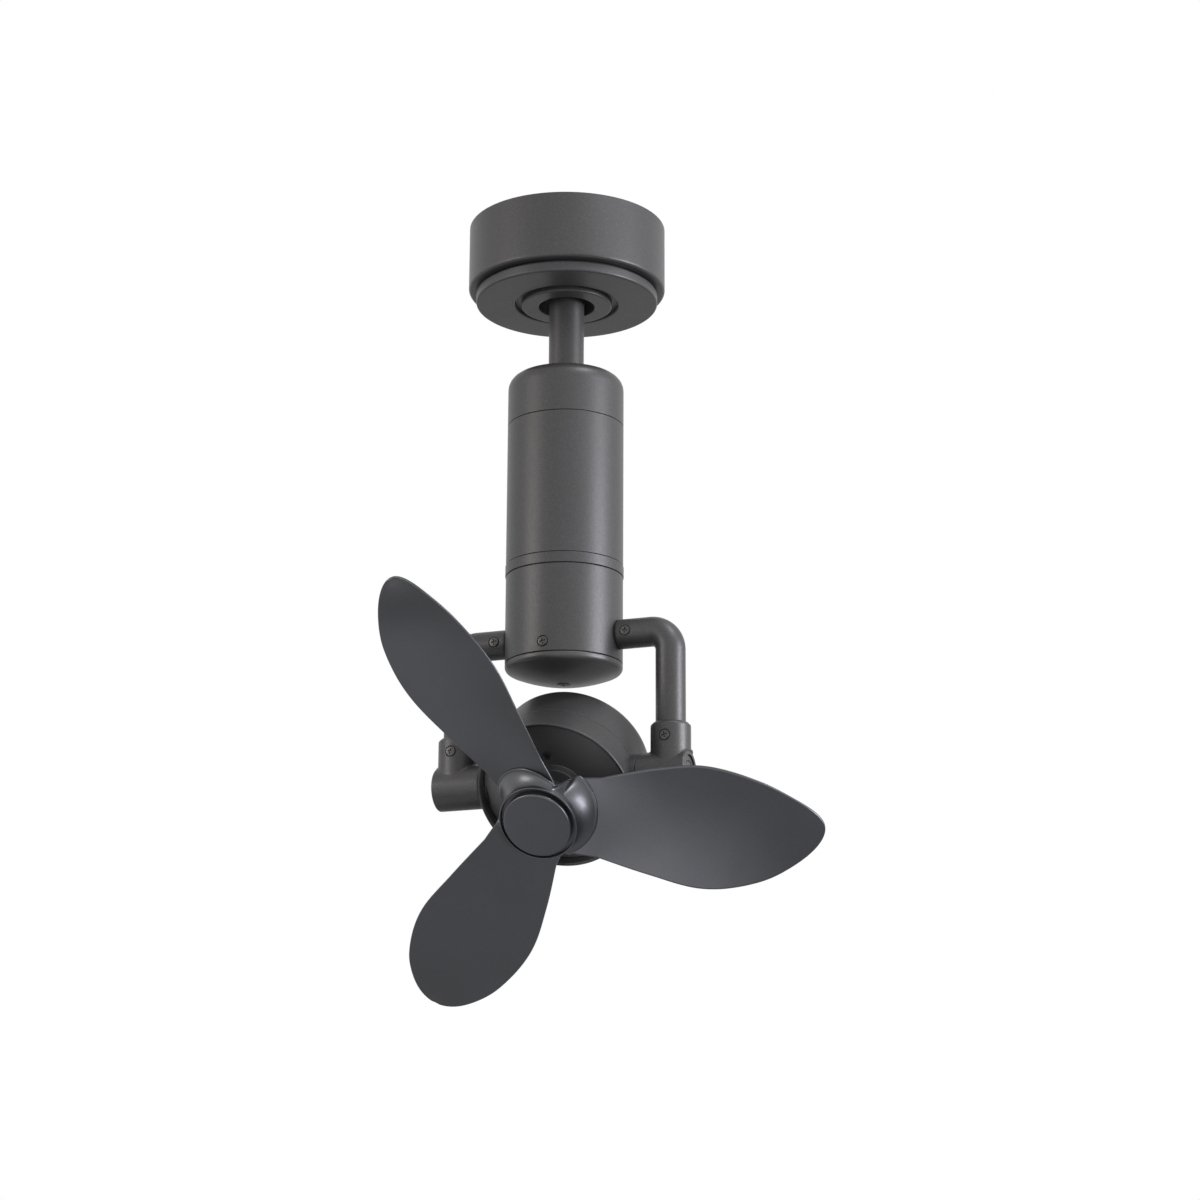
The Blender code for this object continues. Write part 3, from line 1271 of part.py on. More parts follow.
def stator(parent):
    """The laminated core, and the winding that fills its slots and loops over both ends."""
    slot_angle = math.radians(SLOT_ANGLE)
    outlines = [circle(STATOR_RADIUS, ROUND), slot_outline(SLOT_INNER, SLOT_OUTER, slot_angle)]
    prism("stator_core", outlines, STATOR_LOW, STATOR_HIGH, STEELY, parent)
    inner = SLOT_INNER + RUNNING
    outer = SLOT_OUTER - RUNNING
    front = STATOR_HIGH + GAP
    back = STATOR_LOW - GAP
    winding = ring("stator_winding", inner, outer, front, front + WINDING_END, COPPERY, parent, sides=20)
    join(winding, ring("winding_back", inner, outer, back - WINDING_END, back, None, parent, sides=20))
    half = (inner * math.tan(slot_angle)) - 2 * RUNNING
    for i in range(STATOR_TEETH):
        angle = 360 / STATOR_TEETH * (i + 0.5)
        side = block("winding_side", (inner, -half, back - MM), (outer - MM, half, front + MM), None, parent,
                     turn=(0, 0, angle))
        join(winding, side)


def motor_rotor(parent):
    """The rotor: a drum of laminations pressed on the axle, with a ring at each end."""
    bore = AXLE_RADIUS + GAP
    ring_in = (ROTOR_RADIUS + bore) / 2
    profile = [
        (ROTOR_RADIUS, ROTOR_HIGH),
        (ROTOR_RADIUS, ROTOR_LOW),
        (ring_in, ROTOR_LOW),
        (bore, ROTOR_LOW + ROTOR_DISH),
        (bore, ROTOR_HIGH - ROTOR_DISH),
        (ring_in, ROTOR_HIGH),
    ]
    turned("motor_rotor", profile, STEELY, parent, sides=MEDIUM)


def motor_axle(parent):
    low = DRUM_BACK + DRUM_WALL + 2 * GAP
    rod("motor_axle", AXLE_RADIUS, low, AXLE_TOP, STEELY, parent, sides=SMALL)


# Propeller

def chord_at(stations, share):
    """The reach of one edge from the blade's centre line, by a smooth curve through its stations."""
    if share <= stations[0][0]:
        return stations[0][1]
    points = list(stations) + [(1.0, stations[-1][1] * TIP_CHORD)]
    for i in range(len(points) - 1):
        if share <= points[i + 1][0]:
            break
    left, right = points[i], points[i + 1]
    before = points[max(i - 1, 0)]
    after = points[min(i + 2, len(points) - 1)]
    span = right[0] - left[0]
    local = (share - left[0]) / span
    slope_left = (right[1] - before[1]) / (right[0] - before[0]) * span
    slope_right = (after[1] - left[1]) / (after[0] - left[0]) * span
    cube, square = local ** 3, local ** 2
    return (left[1] * (2 * cube - 3 * square + 1) + slope_left * (cube - 2 * square + local)
            + right[1] * (3 * square - 2 * cube) + slope_right * (cube - square))


def edge_reach(radius):
    """How far the leading and trailing edges stand from the centre line, drawn in to a round tip."""
    share = (radius - BLADE_SHOULDER) / (BLADE_TIP - BLADE_SHOULDER)
    close = math.sqrt(max(0.0, 1 - max(share, 0.0) ** TIP_ROUNDNESS))
    return chord_at(LEADING_CHORDS, share) * close, chord_at(TRAILING_CHORDS, share) * close


def blade_surface(radius, across):
    """Height of the blade's middle surface at a radius and a distance across its centre line.

    The centre line rises from the root to a crest and falls to the tip. The surface is pitched
    about it, less towards the tip, and hollow on its front.
    """
    share = max(0.0, (radius - BLADE_SHOULDER) / (BLADE_TIP - BLADE_SHOULDER))
    if share < CREST_AT:
        height = CREST_HEIGHT - (CREST_HEIGHT - ROOT_HEIGHT) * ((CREST_AT - share) / CREST_AT) ** CREST_POWER
    else:
        height = CREST_HEIGHT - (CREST_HEIGHT - TIP_HEIGHT) * ((share - CREST_AT) / (1 - CREST_AT)) ** 3
    pitch = math.radians(PITCH_ROOT + (PITCH_TIP - PITCH_ROOT) * share ** 2)
    leading, trailing = edge_reach(radius)
    middle, half = (trailing - leading) / 2, max((trailing + leading) / 2, MM)
    fullness = min(1.0, share * 4)
    hollow = BLADE_CAMBER * fullness * (1 - min(1.0, abs(across - middle) / half) ** 2)
    return height - across * math.tan(pitch) - hollow


def blade_section(radius, leading, trailing, thickness):
    """The closed outline of a blade at one radius: front side, then back side."""
    steps = 5
    front, back = [], []
    for i in range(steps + 1):
        share = -math.cos(math.pi * i / steps)
        across = (trailing - leading) / 2 + share * (trailing + leading) / 2
        thick = BLADE_EDGE + (thickness - BLADE_EDGE) * (1 - share ** 2)
        middle = blade_surface(radius, across)
        angle = across / radius
        x, y = radius * math.cos(angle), radius * math.sin(angle)
        front.append((x, y, middle + thick / 2))
        back.append((x, y, middle - thick / 2))
    return front + back[::-1]


def loft(name, sections, look, parent, turn):
    """A closed solid through sections, each a front row of points followed by its back row."""
    count = len(sections[0])
    points = [point for section in sections for point in section]
    last = (len(sections) - 1) * count
    faces = []
    for row in range(0, last, count):
        for i in range(count):
            j = (i + 1) % count
            faces.append((row + i, row + j, row + count + j, row + count + i))
    for start in (0, last):
        for i in range(count // 2 - 1):
            faces.append((start + i, start + i + 1, start + count - 2 - i, start + count - 1 - i))
    mesh = bpy.data.meshes.new(name)
    mesh.from_pydata(points, [], faces)
    bm = bmesh.new()
    bm.from_mesh(mesh)
    bmesh.ops.recalc_face_normals(bm, faces=bm.faces)
    bm.to_mesh(mesh)
    bm.free()
    return add_object(name, mesh, look, parent, turn=turn)


def blade_turn(index):
    return (0, 0, BLADE_ANGLE + 360 / BLADE_COUNT * index)


def screw_hole_in_foot(parent, index):
    angle = math.radians(blade_turn(index)[2])
    place = (BLADE_SCREW_PITCH * math.cos(angle), BLADE_SCREW_PITCH * math.sin(angle), 0)
    hole = rod("blade_screw_hole", BLADE_SCREW_SHANK + GAP, FOOT_BACK - MM, HUB_BACK + BLADE_SCREW_BITE + MM,
               None, parent, place, sides=FINE)
    return hole, place


def blade(index, parent, hole):
    """A leaf-shaped blade, with a tongue and a foot that bolt up under the hub."""
    sections = [
        blade_section(BLADE_ROOT, *edge_reach(BLADE_ROOT), BLADE_THICK),
        blade_section(BLADE_SHOULDER, *edge_reach(BLADE_SHOULDER), BLADE_THICK),
    ]
    steps = 10
    for i in range(1, steps + 1):
        share = math.sin(math.pi / 2 * i / (steps + 0.35))
        radius = BLADE_SHOULDER + (BLADE_TIP - BLADE_SHOULDER) * share
        slim = BLADE_THICK * (1 - BLADE_SLIMMING * share)
        sections.append(blade_section(radius, *edge_reach(radius), slim))
    name = f"blade_{index + 1}"
    turn = blade_turn(index)
    piece = loft(name, sections, MOULDED, parent, turn)
    half = FOOT_WIDTH / 2
    ends = (FOOT_REACH - 3 * MM, BLADE_ROOT + 2 * MM)
    tongue = [blade_section(radius, half - MM, half - MM, TONGUE_THICK) for radius in ends]
    join(piece, loft(name + "_tongue", tongue, None, parent, turn))
    low = (HUB_CORE_RADIUS + 2 * GAP, -half, FOOT_BACK)
    high = (FOOT_REACH, half, HUB_BACK - GAP)
    join(piece, block(name + "_foot", low, high, None, parent, turn=turn))
    cut(piece, hole)


def blade_screw(index, parent, place):
    """The screw that comes up through a blade's foot into the hub."""
    seat = (place[0], place[1], FOOT_BACK - GAP)
    length = HUB_BACK + BLADE_SCREW_BITE - seat[2]
    screw_piece(f"blade_screw_{index + 1}", BLADE_SCREW_HEAD, LONG_SCREW_HEIGHT, BLADE_SCREW_SHANK, length,
                parent, seat, (180, 0, 0), crossed=False)


def lobe(index, parent):
    """A flared lobe of the hub that lies on a blade's root: a grid of columns, top and bottom."""
    steps = 4
    inner = HUB_SIDE_RADIUS - LOBE_OVERLAP
    rise = HUB_FRONT - HUB_RIM_DROP
    rows = []
    for degrees, reach in LOBE_EDGE:
        angle = math.radians(degrees)
        outer = HUB_SIDE_RADIUS + reach
        edge = blade_surface(outer, angle * outer) + BLADE_THICK / 2 + GAP + LOBE_STEP
        top, bottom = [], []
        for j in range(steps + 1):
            out = j / steps
            radius = inner + (outer - inner) * out
            x, y = radius * math.cos(angle), radius * math.sin(angle)
            top.append((x, y, edge + (rise - edge) * (1 - out) ** LOBE_POWER))
            bottom.append((x, y, blade_surface(radius, angle * radius) + BLADE_THICK / 2 + GAP))
        rows.append(top + bottom[::-1])
    return loft(f"lobe_{index + 1}", rows, None, parent, blade_turn(index))


def propeller_hub(parent, holes):
    """The hub: a shallow cup round the nut, a core behind it, and a lobe over each blade."""
    bore = AXLE_RADIUS + GAP
    profile = [
        (HUB_RIM_RADIUS - HUB_RIM_EDGE, HUB_FRONT),
        (HUB_RIM_RADIUS, HUB_FRONT - HUB_RIM_EDGE),
        (HUB_SIDE_RADIUS, HUB_FRONT - HUB_RIM_DROP),
        (HUB_SIDE_RADIUS, HUB_BACK),
        (HUB_CORE_RADIUS, HUB_BACK),
        (HUB_CORE_RADIUS, HUB_CORE_BACK),
        (bore, HUB_CORE_BACK),
        (bore, HUB_POCKET_FLOOR),
        (HUB_POCKET_RADIUS, HUB_POCKET_FLOOR),
        (HUB_POCKET_RADIUS, HUB_DIP),
        (HUB_DIP_RADIUS, HUB_DIP),
    ]
    hub = turned("propeller_hub", profile, MOULDED, parent)
    join(hub, *[lobe(index, parent) for index in range(BLADE_COUNT)])
    cut(hub, *holes)


def hub_cap(parent):
    """The round button in the hub's front, which hides the nut."""
    shoulder = HUB_CAP_FRONT - HUB_CAP_CROWN
    seat = HUB_DIP + GAP
    plug = HUB_POCKET_RADIUS - GAP
    inside = HUB_CAP_FRONT - 2 * HUB_CAP_WALL
    profile = [
        (0, HUB_CAP_FRONT),
        (HUB_CAP_RADIUS - HUB_CAP_EDGE, shoulder),
        (HUB_CAP_RADIUS, shoulder - HUB_CAP_EDGE),
        (HUB_CAP_RADIUS, seat),
        (plug, seat),
        (plug, seat - HUB_CAP_PLUG),
        (plug - HUB_CAP_WALL, seat - HUB_CAP_PLUG),
        (plug - HUB_CAP_WALL, inside),
        (0, inside),
    ]
    turned("hub_cap", profile, MOULDED, parent, sides=ROUND)


def hub_nut(parent):
    low = HUB_POCKET_FLOOR + GAP
    outlines = [circle(NUT_RADIUS, 6), circle(AXLE_RADIUS + GAP, SMALL)]
    prism("hub_nut", outlines, low, low + NUT_HEIGHT, STEELY, parent)


def build_ceiling_mount():
    canopy_shell()
    canopy_cover_ring()
    ceiling_bracket()
    canopy_screws()


def build_hanger(swing):
    """Everything that hangs from the ball and doesn't turn."""
    ball_hole = hanger_ball(swing)
    bolt_hole = coupling_bolt_hole(swing)
    downrod(swing, ball_hole, bolt_hole)
    rod_coupling(swing, bolt_hole)
    coupling_bolt(swing)
    housing_top_cap(swing)
    housing_tube(swing)
    housing_base(swing)
    bearing_bridge(swing)
    for name, high in (("upper_bearing", UPPER_BEARING_HIGH), ("lower_bearing", LOWER_BEARING_HIGH)):
        top = high - BALL_CENTRE
        ball_bearing(name, SHAFT_RADIUS + GAP, BEARING_RADIUS, top - BEARING_HEIGHT, top, swing)
    orbit_gearmotor(swing)
    slip_ring(swing)


def build_yoke(orbit):
    """Everything that turns with the hollow shaft."""
    arm_depth = ARM_RADIUS - CROSS_TUBE_RADIUS - GAP
    tee_depth = SOCKET_RADIUS - ARM_RADIUS - GAP
    cap_depth = HUB_WALL + DOME_COLLAR_WALL + MM
    arm_z = ARM_Z - PIVOT_Z
    tee_z = TEE_SCREW_Z - PIVOT_Z
    cap_z = CAP_SCREW_Z - PIVOT_Z
    cap_pocket, cap_hole = side_screw_cutters(orbit, 0, HUB_RADIUS, cap_z, cap_depth)
    dome_hole, dome_pocket = dome_screw_holes(orbit)
    orbit_shaft(orbit)
    orbit_gear(orbit)
    yoke_hub(orbit, (cap_pocket, cap_hole))
    dome_cap(orbit, (cap_hole, dome_hole, dome_pocket))
    dome_screw(orbit)
    side_screw("cap_screw_front", orbit, 0, HUB_RADIUS, cap_z, cap_depth)
    for side, name in ((-1, "left"), (1, "right")):
        arm_pocket, arm_hole = side_screw_cutters(orbit, side * ARM_SCREW_X, ARM_RADIUS, arm_z, arm_depth)
        tee_pocket, tee_hole = side_screw_cutters(orbit, side * ARM_X, SOCKET_RADIUS, tee_z, tee_depth)
        yoke_arm("yoke_arm_" + name, side, orbit, (arm_pocket, arm_hole))
        arm_tee("arm_tee_" + name, side, orbit, (tee_pocket, tee_hole))
        pivot_cap("pivot_cap_" + name, side, orbit)
        side_screw("arm_screw_" + name, orbit, side * ARM_SCREW_X, ARM_RADIUS, arm_z, arm_depth)
        side_screw("tee_screw_" + name, orbit, side * ARM_X, SOCKET_RADIUS, tee_z, tee_depth)
    yoke_cross_tube(orbit, dome_hole)


def build_head(head):
    """The drum and the fixed parts of its motor."""
    hole = neck_hole(head)
    screw_holes = plate_screw_holes(head)
    trunnion("trunnion_left", -1, head)
    trunnion("trunnion_right", 1, head)
    motor_rear_shell(head, hole)
    motor_front_ring(head, hole)
    motor_front_plate(head, screw_holes)
    plate_screws(head)
    motor_end_bell(head, screw_holes)
    stator(head)
    bore = AXLE_RADIUS + GAP
    rear_low = DRUM_BACK + DRUM_WALL + GAP
    front_high = BELL_BACK - GAP
    front_low = front_high - HEAD_BEARING_HEIGHT
    ball_bearing("rear_bearing", bore, HEAD_BEARING_RADIUS, rear_low, rear_low + HEAD_BEARING_HEIGHT, head)
    ball_bearing("front_bearing", bore, HEAD_BEARING_RADIUS, front_low, front_high, head)


def build_propeller(spin):
    """The rotor, the axle and the bladed hub."""
    motor_axle(spin)
    motor_rotor(spin)
    holes = []
    for index in range(BLADE_COUNT):
        hole, place = screw_hole_in_foot(spin, index)
        holes.append(hole)
        blade(index, spin, hole)
        blade_screw(index, spin, place)
    propeller_hub(spin, holes)
    hub_cap(spin)
    hub_nut(spin)


def shade_round_pieces():
    """Apply the modifiers, then shade each part smooth with its corners kept sharp."""
    bpy.context.view_layer.update()
    depsgraph = bpy.context.evaluated_depsgraph_get()
    parts = [obj for obj in PARTS.objects if obj.type == "MESH"]
    meshes = [bpy.data.meshes.new_from_object(obj.evaluated_get(depsgraph)) for obj in parts]
    for obj, mesh in zip(parts, meshes):
        obj.modifiers.clear()
        obj.data = mesh
        mesh.name = obj.name
        mesh.shade_smooth()
        mesh.set_sharp_from_angle(angle=math.radians(32))


def main():
    build_ceiling_mount()
    swing = pivot("hanger_swing", None, (0, 0, BALL_CENTRE))
    build_hanger(swing)
    pinion = pivot("pinion_spin", swing, (0, GEAR_DISTANCE, 0))
    drive_pinion(pinion)
    orbit = pivot("yoke_orbit", swing, (0, 0, PIVOT_Z - BALL_CENTRE))
    build_yoke(orbit)
    head = pivot("head_tilt", orbit, (0, 0, 0), (90 + TILT_DEG, 0, 0))
    build_head(head)
    spin = pivot("propeller_spin", head)
    build_propeller(spin)
    shade_round_pieces()


main()
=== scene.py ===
# %% [markdown]
# # An orbital ceiling fan
#
# The real fan is a small three-blade head that tilts in a yoke, and the yoke turns slowly under a
# tubular housing, so that the air sweeps round the room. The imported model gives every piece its
# place, size and motion, but its round pieces have flat facets. This lesson keeps each place and
# makes the surfaces again, fine enough for a close look, and gives each one its finish.
#
# A surface here is a function of two numbers, worked out by numpy for a whole grid at once. That
# suits this object, because nearly all of its pieces are turned or are swept along a line.

import json

import bmesh
import bpy
import numpy as np
from mathutils import Matrix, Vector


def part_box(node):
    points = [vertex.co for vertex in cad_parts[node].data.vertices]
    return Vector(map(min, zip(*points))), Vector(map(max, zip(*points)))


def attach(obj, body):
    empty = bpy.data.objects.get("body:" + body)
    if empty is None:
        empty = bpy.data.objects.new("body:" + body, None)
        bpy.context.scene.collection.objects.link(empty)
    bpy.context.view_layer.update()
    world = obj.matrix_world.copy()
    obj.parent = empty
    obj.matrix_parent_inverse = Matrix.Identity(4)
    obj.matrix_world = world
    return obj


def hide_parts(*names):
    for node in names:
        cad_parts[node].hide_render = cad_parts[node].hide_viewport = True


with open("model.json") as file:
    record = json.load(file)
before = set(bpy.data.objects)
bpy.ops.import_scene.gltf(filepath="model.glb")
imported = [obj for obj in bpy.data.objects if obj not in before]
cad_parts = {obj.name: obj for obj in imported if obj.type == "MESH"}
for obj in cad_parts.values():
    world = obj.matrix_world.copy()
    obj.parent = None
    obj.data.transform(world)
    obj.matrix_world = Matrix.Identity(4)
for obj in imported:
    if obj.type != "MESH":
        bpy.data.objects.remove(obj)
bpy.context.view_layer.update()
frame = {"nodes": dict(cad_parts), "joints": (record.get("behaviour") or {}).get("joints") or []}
MM = 0.001
joints = {joint["name"]: joint for joint in frame["joints"]}
print("nodes:", len(frame["nodes"]), "joints:", ", ".join(joints))

# %% [markdown]
# ## The camera
#
# The photograph was taken from below and from a long way off, which is how a shop shows a ceiling
# fan. The lens, the place and the direction were found by fitting the outlines of the round pieces.
# A camera could be aimed with a constraint, but a matrix built from three directions says plainly
# what is right, up and forward, and it holds the small roll too.

# %% Camera at the photograph's place
CAMERA_PLACE = np.array([0.7127, -1.8663, -0.8626])
CAMERA_HEADING = np.radians(-20.14)
CAMERA_PITCH = np.radians(15.85)
CAMERA_ROLL = np.radians(0.27)
CAMERA_LENS = 83.88
SENSOR_WIDTH = 36.0
FAR_CLIP = 50.0

WORLD_UP = np.array([0.0, 0.0, 1.0])
level_forward = np.array([np.sin(CAMERA_HEADING), np.cos(CAMERA_HEADING), 0.0])
level_right = np.array([np.cos(CAMERA_HEADING), -np.sin(CAMERA_HEADING), 0.0])


def photo_camera():
    """Aim the camera: forward is the heading pitched up, and right and up are rolled about it."""
    forward = np.cos(CAMERA_PITCH) * level_forward + np.sin(CAMERA_PITCH) * WORLD_UP
    up = np.cross(level_right, forward)
    rolled_right = np.cos(CAMERA_ROLL) * level_right + np.sin(CAMERA_ROLL) * up
    rolled_up = -np.sin(CAMERA_ROLL) * level_right + np.cos(CAMERA_ROLL) * up
    pose = np.eye(4)
    pose[:3, :4] = np.stack([rolled_right, rolled_up, -forward, CAMERA_PLACE], axis=1)
    data = bpy.data.cameras.new("photo_camera")
    data.lens = CAMERA_LENS
    data.sensor_width = SENSOR_WIDTH
    data.clip_end = FAR_CLIP
    camera = bpy.data.objects.new("photo_camera", data)
    camera.matrix_world = Matrix(pose.tolist())
    bpy.context.scene.collection.objects.link(camera)
    bpy.context.scene.camera = camera


photo_camera()
print("camera stands at", [round(value, 3) for value in CAMERA_PLACE])

# %% [markdown]
# ## The finishes
#
# The metal pieces of the real fan are sprayed with one graphite paint that has fine metal flakes
# in it, so they shine softly and are never one even tone. The blades and their hub are moulded in
# a charcoal plastic with metal powder in it, which gives it a cool sheen. Inside are zinc-plated
# steel, machined steel, brass, nylon, black mouldings and copper wire.
#
# Each finish could be a painted picture wrapped round the piece. Worked-out noise is better here,
# because it has no seams, stays sharp close up and needs no unwrapping. A small class holds one
# socket of a node, so that the arithmetic of a finish reads as arithmetic.

# %% One wire between nodes
class Wire:
    """One output of a node. Arithmetic on wires becomes Math nodes, and a number may come first."""

    def __init__(self, graph, socket):
        self.graph = graph
        self.socket = socket

    def math(self, operation, first, second):
        """One Math node of two wires or numbers."""
        return self.graph.add("ShaderNodeMath", {"operation": operation}, {0: first, 1: second})

    def __add__(self, other):
        return self.math("ADD", self, other)

    def __radd__(self, other):
        return self.math("ADD", other, self)

    def __sub__(self, other):
        return self.math("SUBTRACT", self, other)

    def __rsub__(self, other):
        return self.math("SUBTRACT", other, self)

    def __mul__(self, other):
        return self.math("MULTIPLY", self, other)

    def __rmul__(self, other):
        return self.math("MULTIPLY", other, self)

    def __pow__(self, other):
        return self.math("POWER", self, other)

    def __rpow__(self, other):
        return self.math("POWER", other, self)


print("wires can be added, subtracted, multiplied and raised to a power")


# %% The nodes of a material
class Graph:
    """The nodes of a material or a world. add() makes one of any type, its settings first."""

    def __init__(self, owner):
        owner.use_nodes = True
        self.tree = owner.node_tree
        self.tree.nodes.clear()

    def add(self, kind, settings=None, inputs=None, output=0):
        """One node of that kind, whose inputs take wires or values; returns one of its outputs."""
        node = self.tree.nodes.new(kind)
        for name, value in (settings or {}).items():
            setattr(node, name, value)
        for name, value in (inputs or {}).items():
            if isinstance(value, Wire):
                self.tree.links.new(value.socket, node.inputs[name])
            else:
                node.inputs[name].default_value = value
        return Wire(self, node.outputs[output]) if len(node.outputs) else None


class Finish(Graph):
    """A material whose patterns follow the place on the piece."""

    def __init__(self, name):
        self.material = bpy.data.materials.new(name)
        super().__init__(self.material)
        self.place = self.add("ShaderNodeTexCoord", output="Object")

    def stretched(self, scale):
        """The place, stretched: each of its three parts times its own number."""
        return self.add("ShaderNodeVectorMath", {"operation": "MULTIPLY"}, {0: self.place, 1: scale})

    def noise(self, grain, detail=3.0, scale=(1.0, 1.0, 1.0)):
        """Cloudy noise between 0 and 1 whose clouds are about one grain wide, in metres."""
        where = self.stretched(scale)
        return self.add("ShaderNodeTexNoise", {}, {"Vector": where, "Scale": 1.0 / grain, "Detail": detail})

    def flakes(self, grain):
        """Small cells, each with its own even value between 0 and 1."""
        cells = self.add("ShaderNodeTexVoronoi", {}, {"Vector": self.place, "Scale": 1.0 / grain}, "Color")
        return self.add("ShaderNodeSeparateColor", {}, {"Color": cells})

    def blend(self, share, first, second):
        """The first colour where share is 0 and the second where it is 1."""
        return self.add("ShaderNodeMix", {"data_type": "RGBA"}, {0: share, 6: first, 7: second}, 2)

    def bump(self, height, depth, normal=None):
        """Tilts the surface by the height, 0 to 1, as if it rose by the depth in metres."""
        inputs = {"Height": height, "Distance": depth, "Strength": 1.0}
        if normal is not None:
            inputs["Normal"] = normal
        return self.add("ShaderNodeBump", {}, inputs)

    def close(self, **values):
        """The Principled shader with these inputs; underlines in their names stand for spaces."""
        inputs = {name.replace("_", " "): value for name, value in values.items()}
        shader = self.add("ShaderNodeBsdfPrincipled", {}, inputs)
        self.add("ShaderNodeOutputMaterial", {}, {"Surface": shader})
        return self.material


print("a finish can hold noise, flakes, blends and bumps")

# %% [markdown]
# ## Painted metal and moulded plastic
#
# Sprayed paint differs in three ways at three sizes. Over centimetres its tone drifts a little
# between warm and cool. Over millimetres it has the slight waviness that painters call orange
# peel, with faint upright streaks. Below half a millimetre the flakes sparkle. The front plate of
# the drum sits deep in shade and the dome faces the dim floor, so they get the same paint mixed
# towards a pale grey, as painted light that lifts their shade. The plastic has the same
# cloudiness, but its grain comes from the mould, its metal powder is finer and its sheen is a
# little blue.

# %% Finishes of the visible pieces
SOFT_DETAIL = 2.0
FINE_DETAIL = 4.0
# Share of pale grey in the front plate's paint: painted light that lifts the plate's shade.
PLATE_PAINTED_LIGHT = 0.35
# Share of pale grey in the dome's paint: painted light that lifts the dome, which faces the dim floor.
DOME_PAINTED_LIGHT = 0.06
FLAKE = 0.35 * MM
ORANGE_PEEL = 2.2 * MM
PEEL_DEPTH = 0.03 * MM
STREAK = 0.8 * MM
STREAK_DEPTH = 0.012 * MM
STREAK_PULL = (1.0, 1.0, 0.08)
DRIFT = 45 * MM
MOULD_GRAIN = 0.5 * MM
MOULD_DEPTH = 0.008 * MM
POWDER = 0.2 * MM
RUBBED_PATCH = 1.4 * MM
RUBBED_DEPTH = 0.005 * MM


def graphite_paint(name, painted_light_share):
    """Satin graphite paint: a drifting, sparkling tone over orange peel and upright streaks.

    The tone is mixed towards a pale grey by the second argument: painted light, which lifts pieces that sit
    in shade.
    """
    finish = Finish(name)
    drift = finish.noise(DRIFT, SOFT_DETAIL)
    deep = finish.blend(drift, (0.056, 0.053, 0.051, 1.0), (0.056, 0.056, 0.062, 1.0))
    # Painted light: the share of pale grey lifts the tone of a piece that sits in shade.
    tone = finish.blend(painted_light_share, deep, (0.40, 0.40, 0.41, 1.0))
    sparkle = finish.flakes(FLAKE) ** 3.0
    colour = finish.blend(sparkle * 0.3, tone, (0.16, 0.155, 0.155, 1.0))
    peel = finish.noise(ORANGE_PEEL, SOFT_DETAIL)
    streaks = finish.noise(STREAK, SOFT_DETAIL, STREAK_PULL)
    normal = finish.bump(streaks, STREAK_DEPTH, finish.bump(peel, PEEL_DEPTH))
    roughness = 0.36 + 0.10 * peel + 0.05 * drift
    return finish.close(Base_Color=colour, Metallic=0.5, Roughness=roughness, Normal=normal)


def charcoal_plastic():
    """Charcoal plastic with metal powder in it: it mirrors softly, with a slightly blue sheen."""
    finish = Finish("charcoal_plastic")
    drift = finish.noise(DRIFT, SOFT_DETAIL)
    tone = finish.blend(drift, (0.080, 0.081, 0.086, 1.0), (0.090, 0.092, 0.102, 1.0))
    powder = finish.flakes(POWDER)
    colour = finish.blend(powder * 0.15, tone, (0.22, 0.22, 0.24, 1.0))
    grain = finish.noise(MOULD_GRAIN)
    normal = finish.bump(grain, MOULD_DEPTH)
    roughness = 0.29 + 0.06 * grain + 0.05 * drift
    return finish.close(Base_Color=colour, Metallic=0.85, Roughness=roughness, Normal=normal)


def screw_steel():
    """Blackened screw steel, brighter where a driver has rubbed it."""
    finish = Finish("screw_steel")
    rubbed = finish.noise(RUBBED_PATCH, FINE_DETAIL)
    colour = finish.blend(rubbed, (0.060, 0.058, 0.055, 1.0), (0.095, 0.091, 0.087, 1.0))
    roughness = 0.34 + 0.10 * rubbed
    return finish.close(Base_Color=colour, Metallic=0.9, Roughness=roughness,
                        Normal=finish.bump(rubbed, RUBBED_DEPTH))


print("visible finishes: graphite paint, charcoal plastic, screw steel")

# %% [markdown]
# ## Metals, nylon and mouldings inside
#
# These pieces are seen only from above, through the screw holes or when the fan is taken apart.
# Each still has the marks of how it is made: zinc plating has a crystal bloom, turned steel has
# rings, laminated steel has layers, and wound wire has turns.

# %% Finishes of the inner pieces
ZINC_BLOOM = 18 * MM
ZINC_CRYSTAL = 1.6 * MM
TOOL_RING = 0.7 * MM
RING_DEPTH = 0.01 * MM
RING_PULL = (0.06, 0.06, 1.0)
DULL_PATCH = 7 * MM
NYLON_CLOUD = 6 * MM
FIBRE = 0.5 * MM
FIBRE_PULL = (1.0, 0.25, 1.0)
MOULD_CLOUD = 4 * MM
WIRE_PITCH = 3 * MM
WIRE_DEPTH = 0.2 * MM


def zinc_steel():
    """Zinc-plated sheet: crystals of slightly different grey, with a faint yellow bloom."""
    finish = Finish("zinc_steel")
    bloom = finish.noise(ZINC_BLOOM)
    crystals = finish.flakes(ZINC_CRYSTAL)
    grey = finish.blend(crystals, (0.42, 0.42, 0.43, 1.0), (0.54, 0.54, 0.54, 1.0))
    colour = finish.blend(bloom * 0.5, grey, (0.55, 0.52, 0.42, 1.0))
    return finish.close(Base_Color=colour, Metallic=1.0, Roughness=0.34 + 0.14 * crystals)


def machined_steel():
    """Turned steel: fine rings left by the tool, as noise pulled out along the surface."""
    finish = Finish("machined_steel")
    rings = finish.noise(TOOL_RING, SOFT_DETAIL, RING_PULL)
    colour = finish.blend(rings, (0.44, 0.44, 0.45, 1.0), (0.60, 0.60, 0.60, 1.0))
    return finish.close(Base_Color=colour, Metallic=1.0, Roughness=0.24 + 0.12 * rings,
                        Normal=finish.bump(rings, RING_DEPTH))


def brass():
    """Brass that has dulled in patches."""
    finish = Finish("dull_brass")
    dull = finish.noise(DULL_PATCH, FINE_DETAIL)
    colour = finish.blend(dull, (0.70, 0.50, 0.19, 1.0), (0.48, 0.34, 0.14, 1.0))
    return finish.close(Base_Color=colour, Metallic=1.0, Roughness=0.25 + 0.18 * dull)


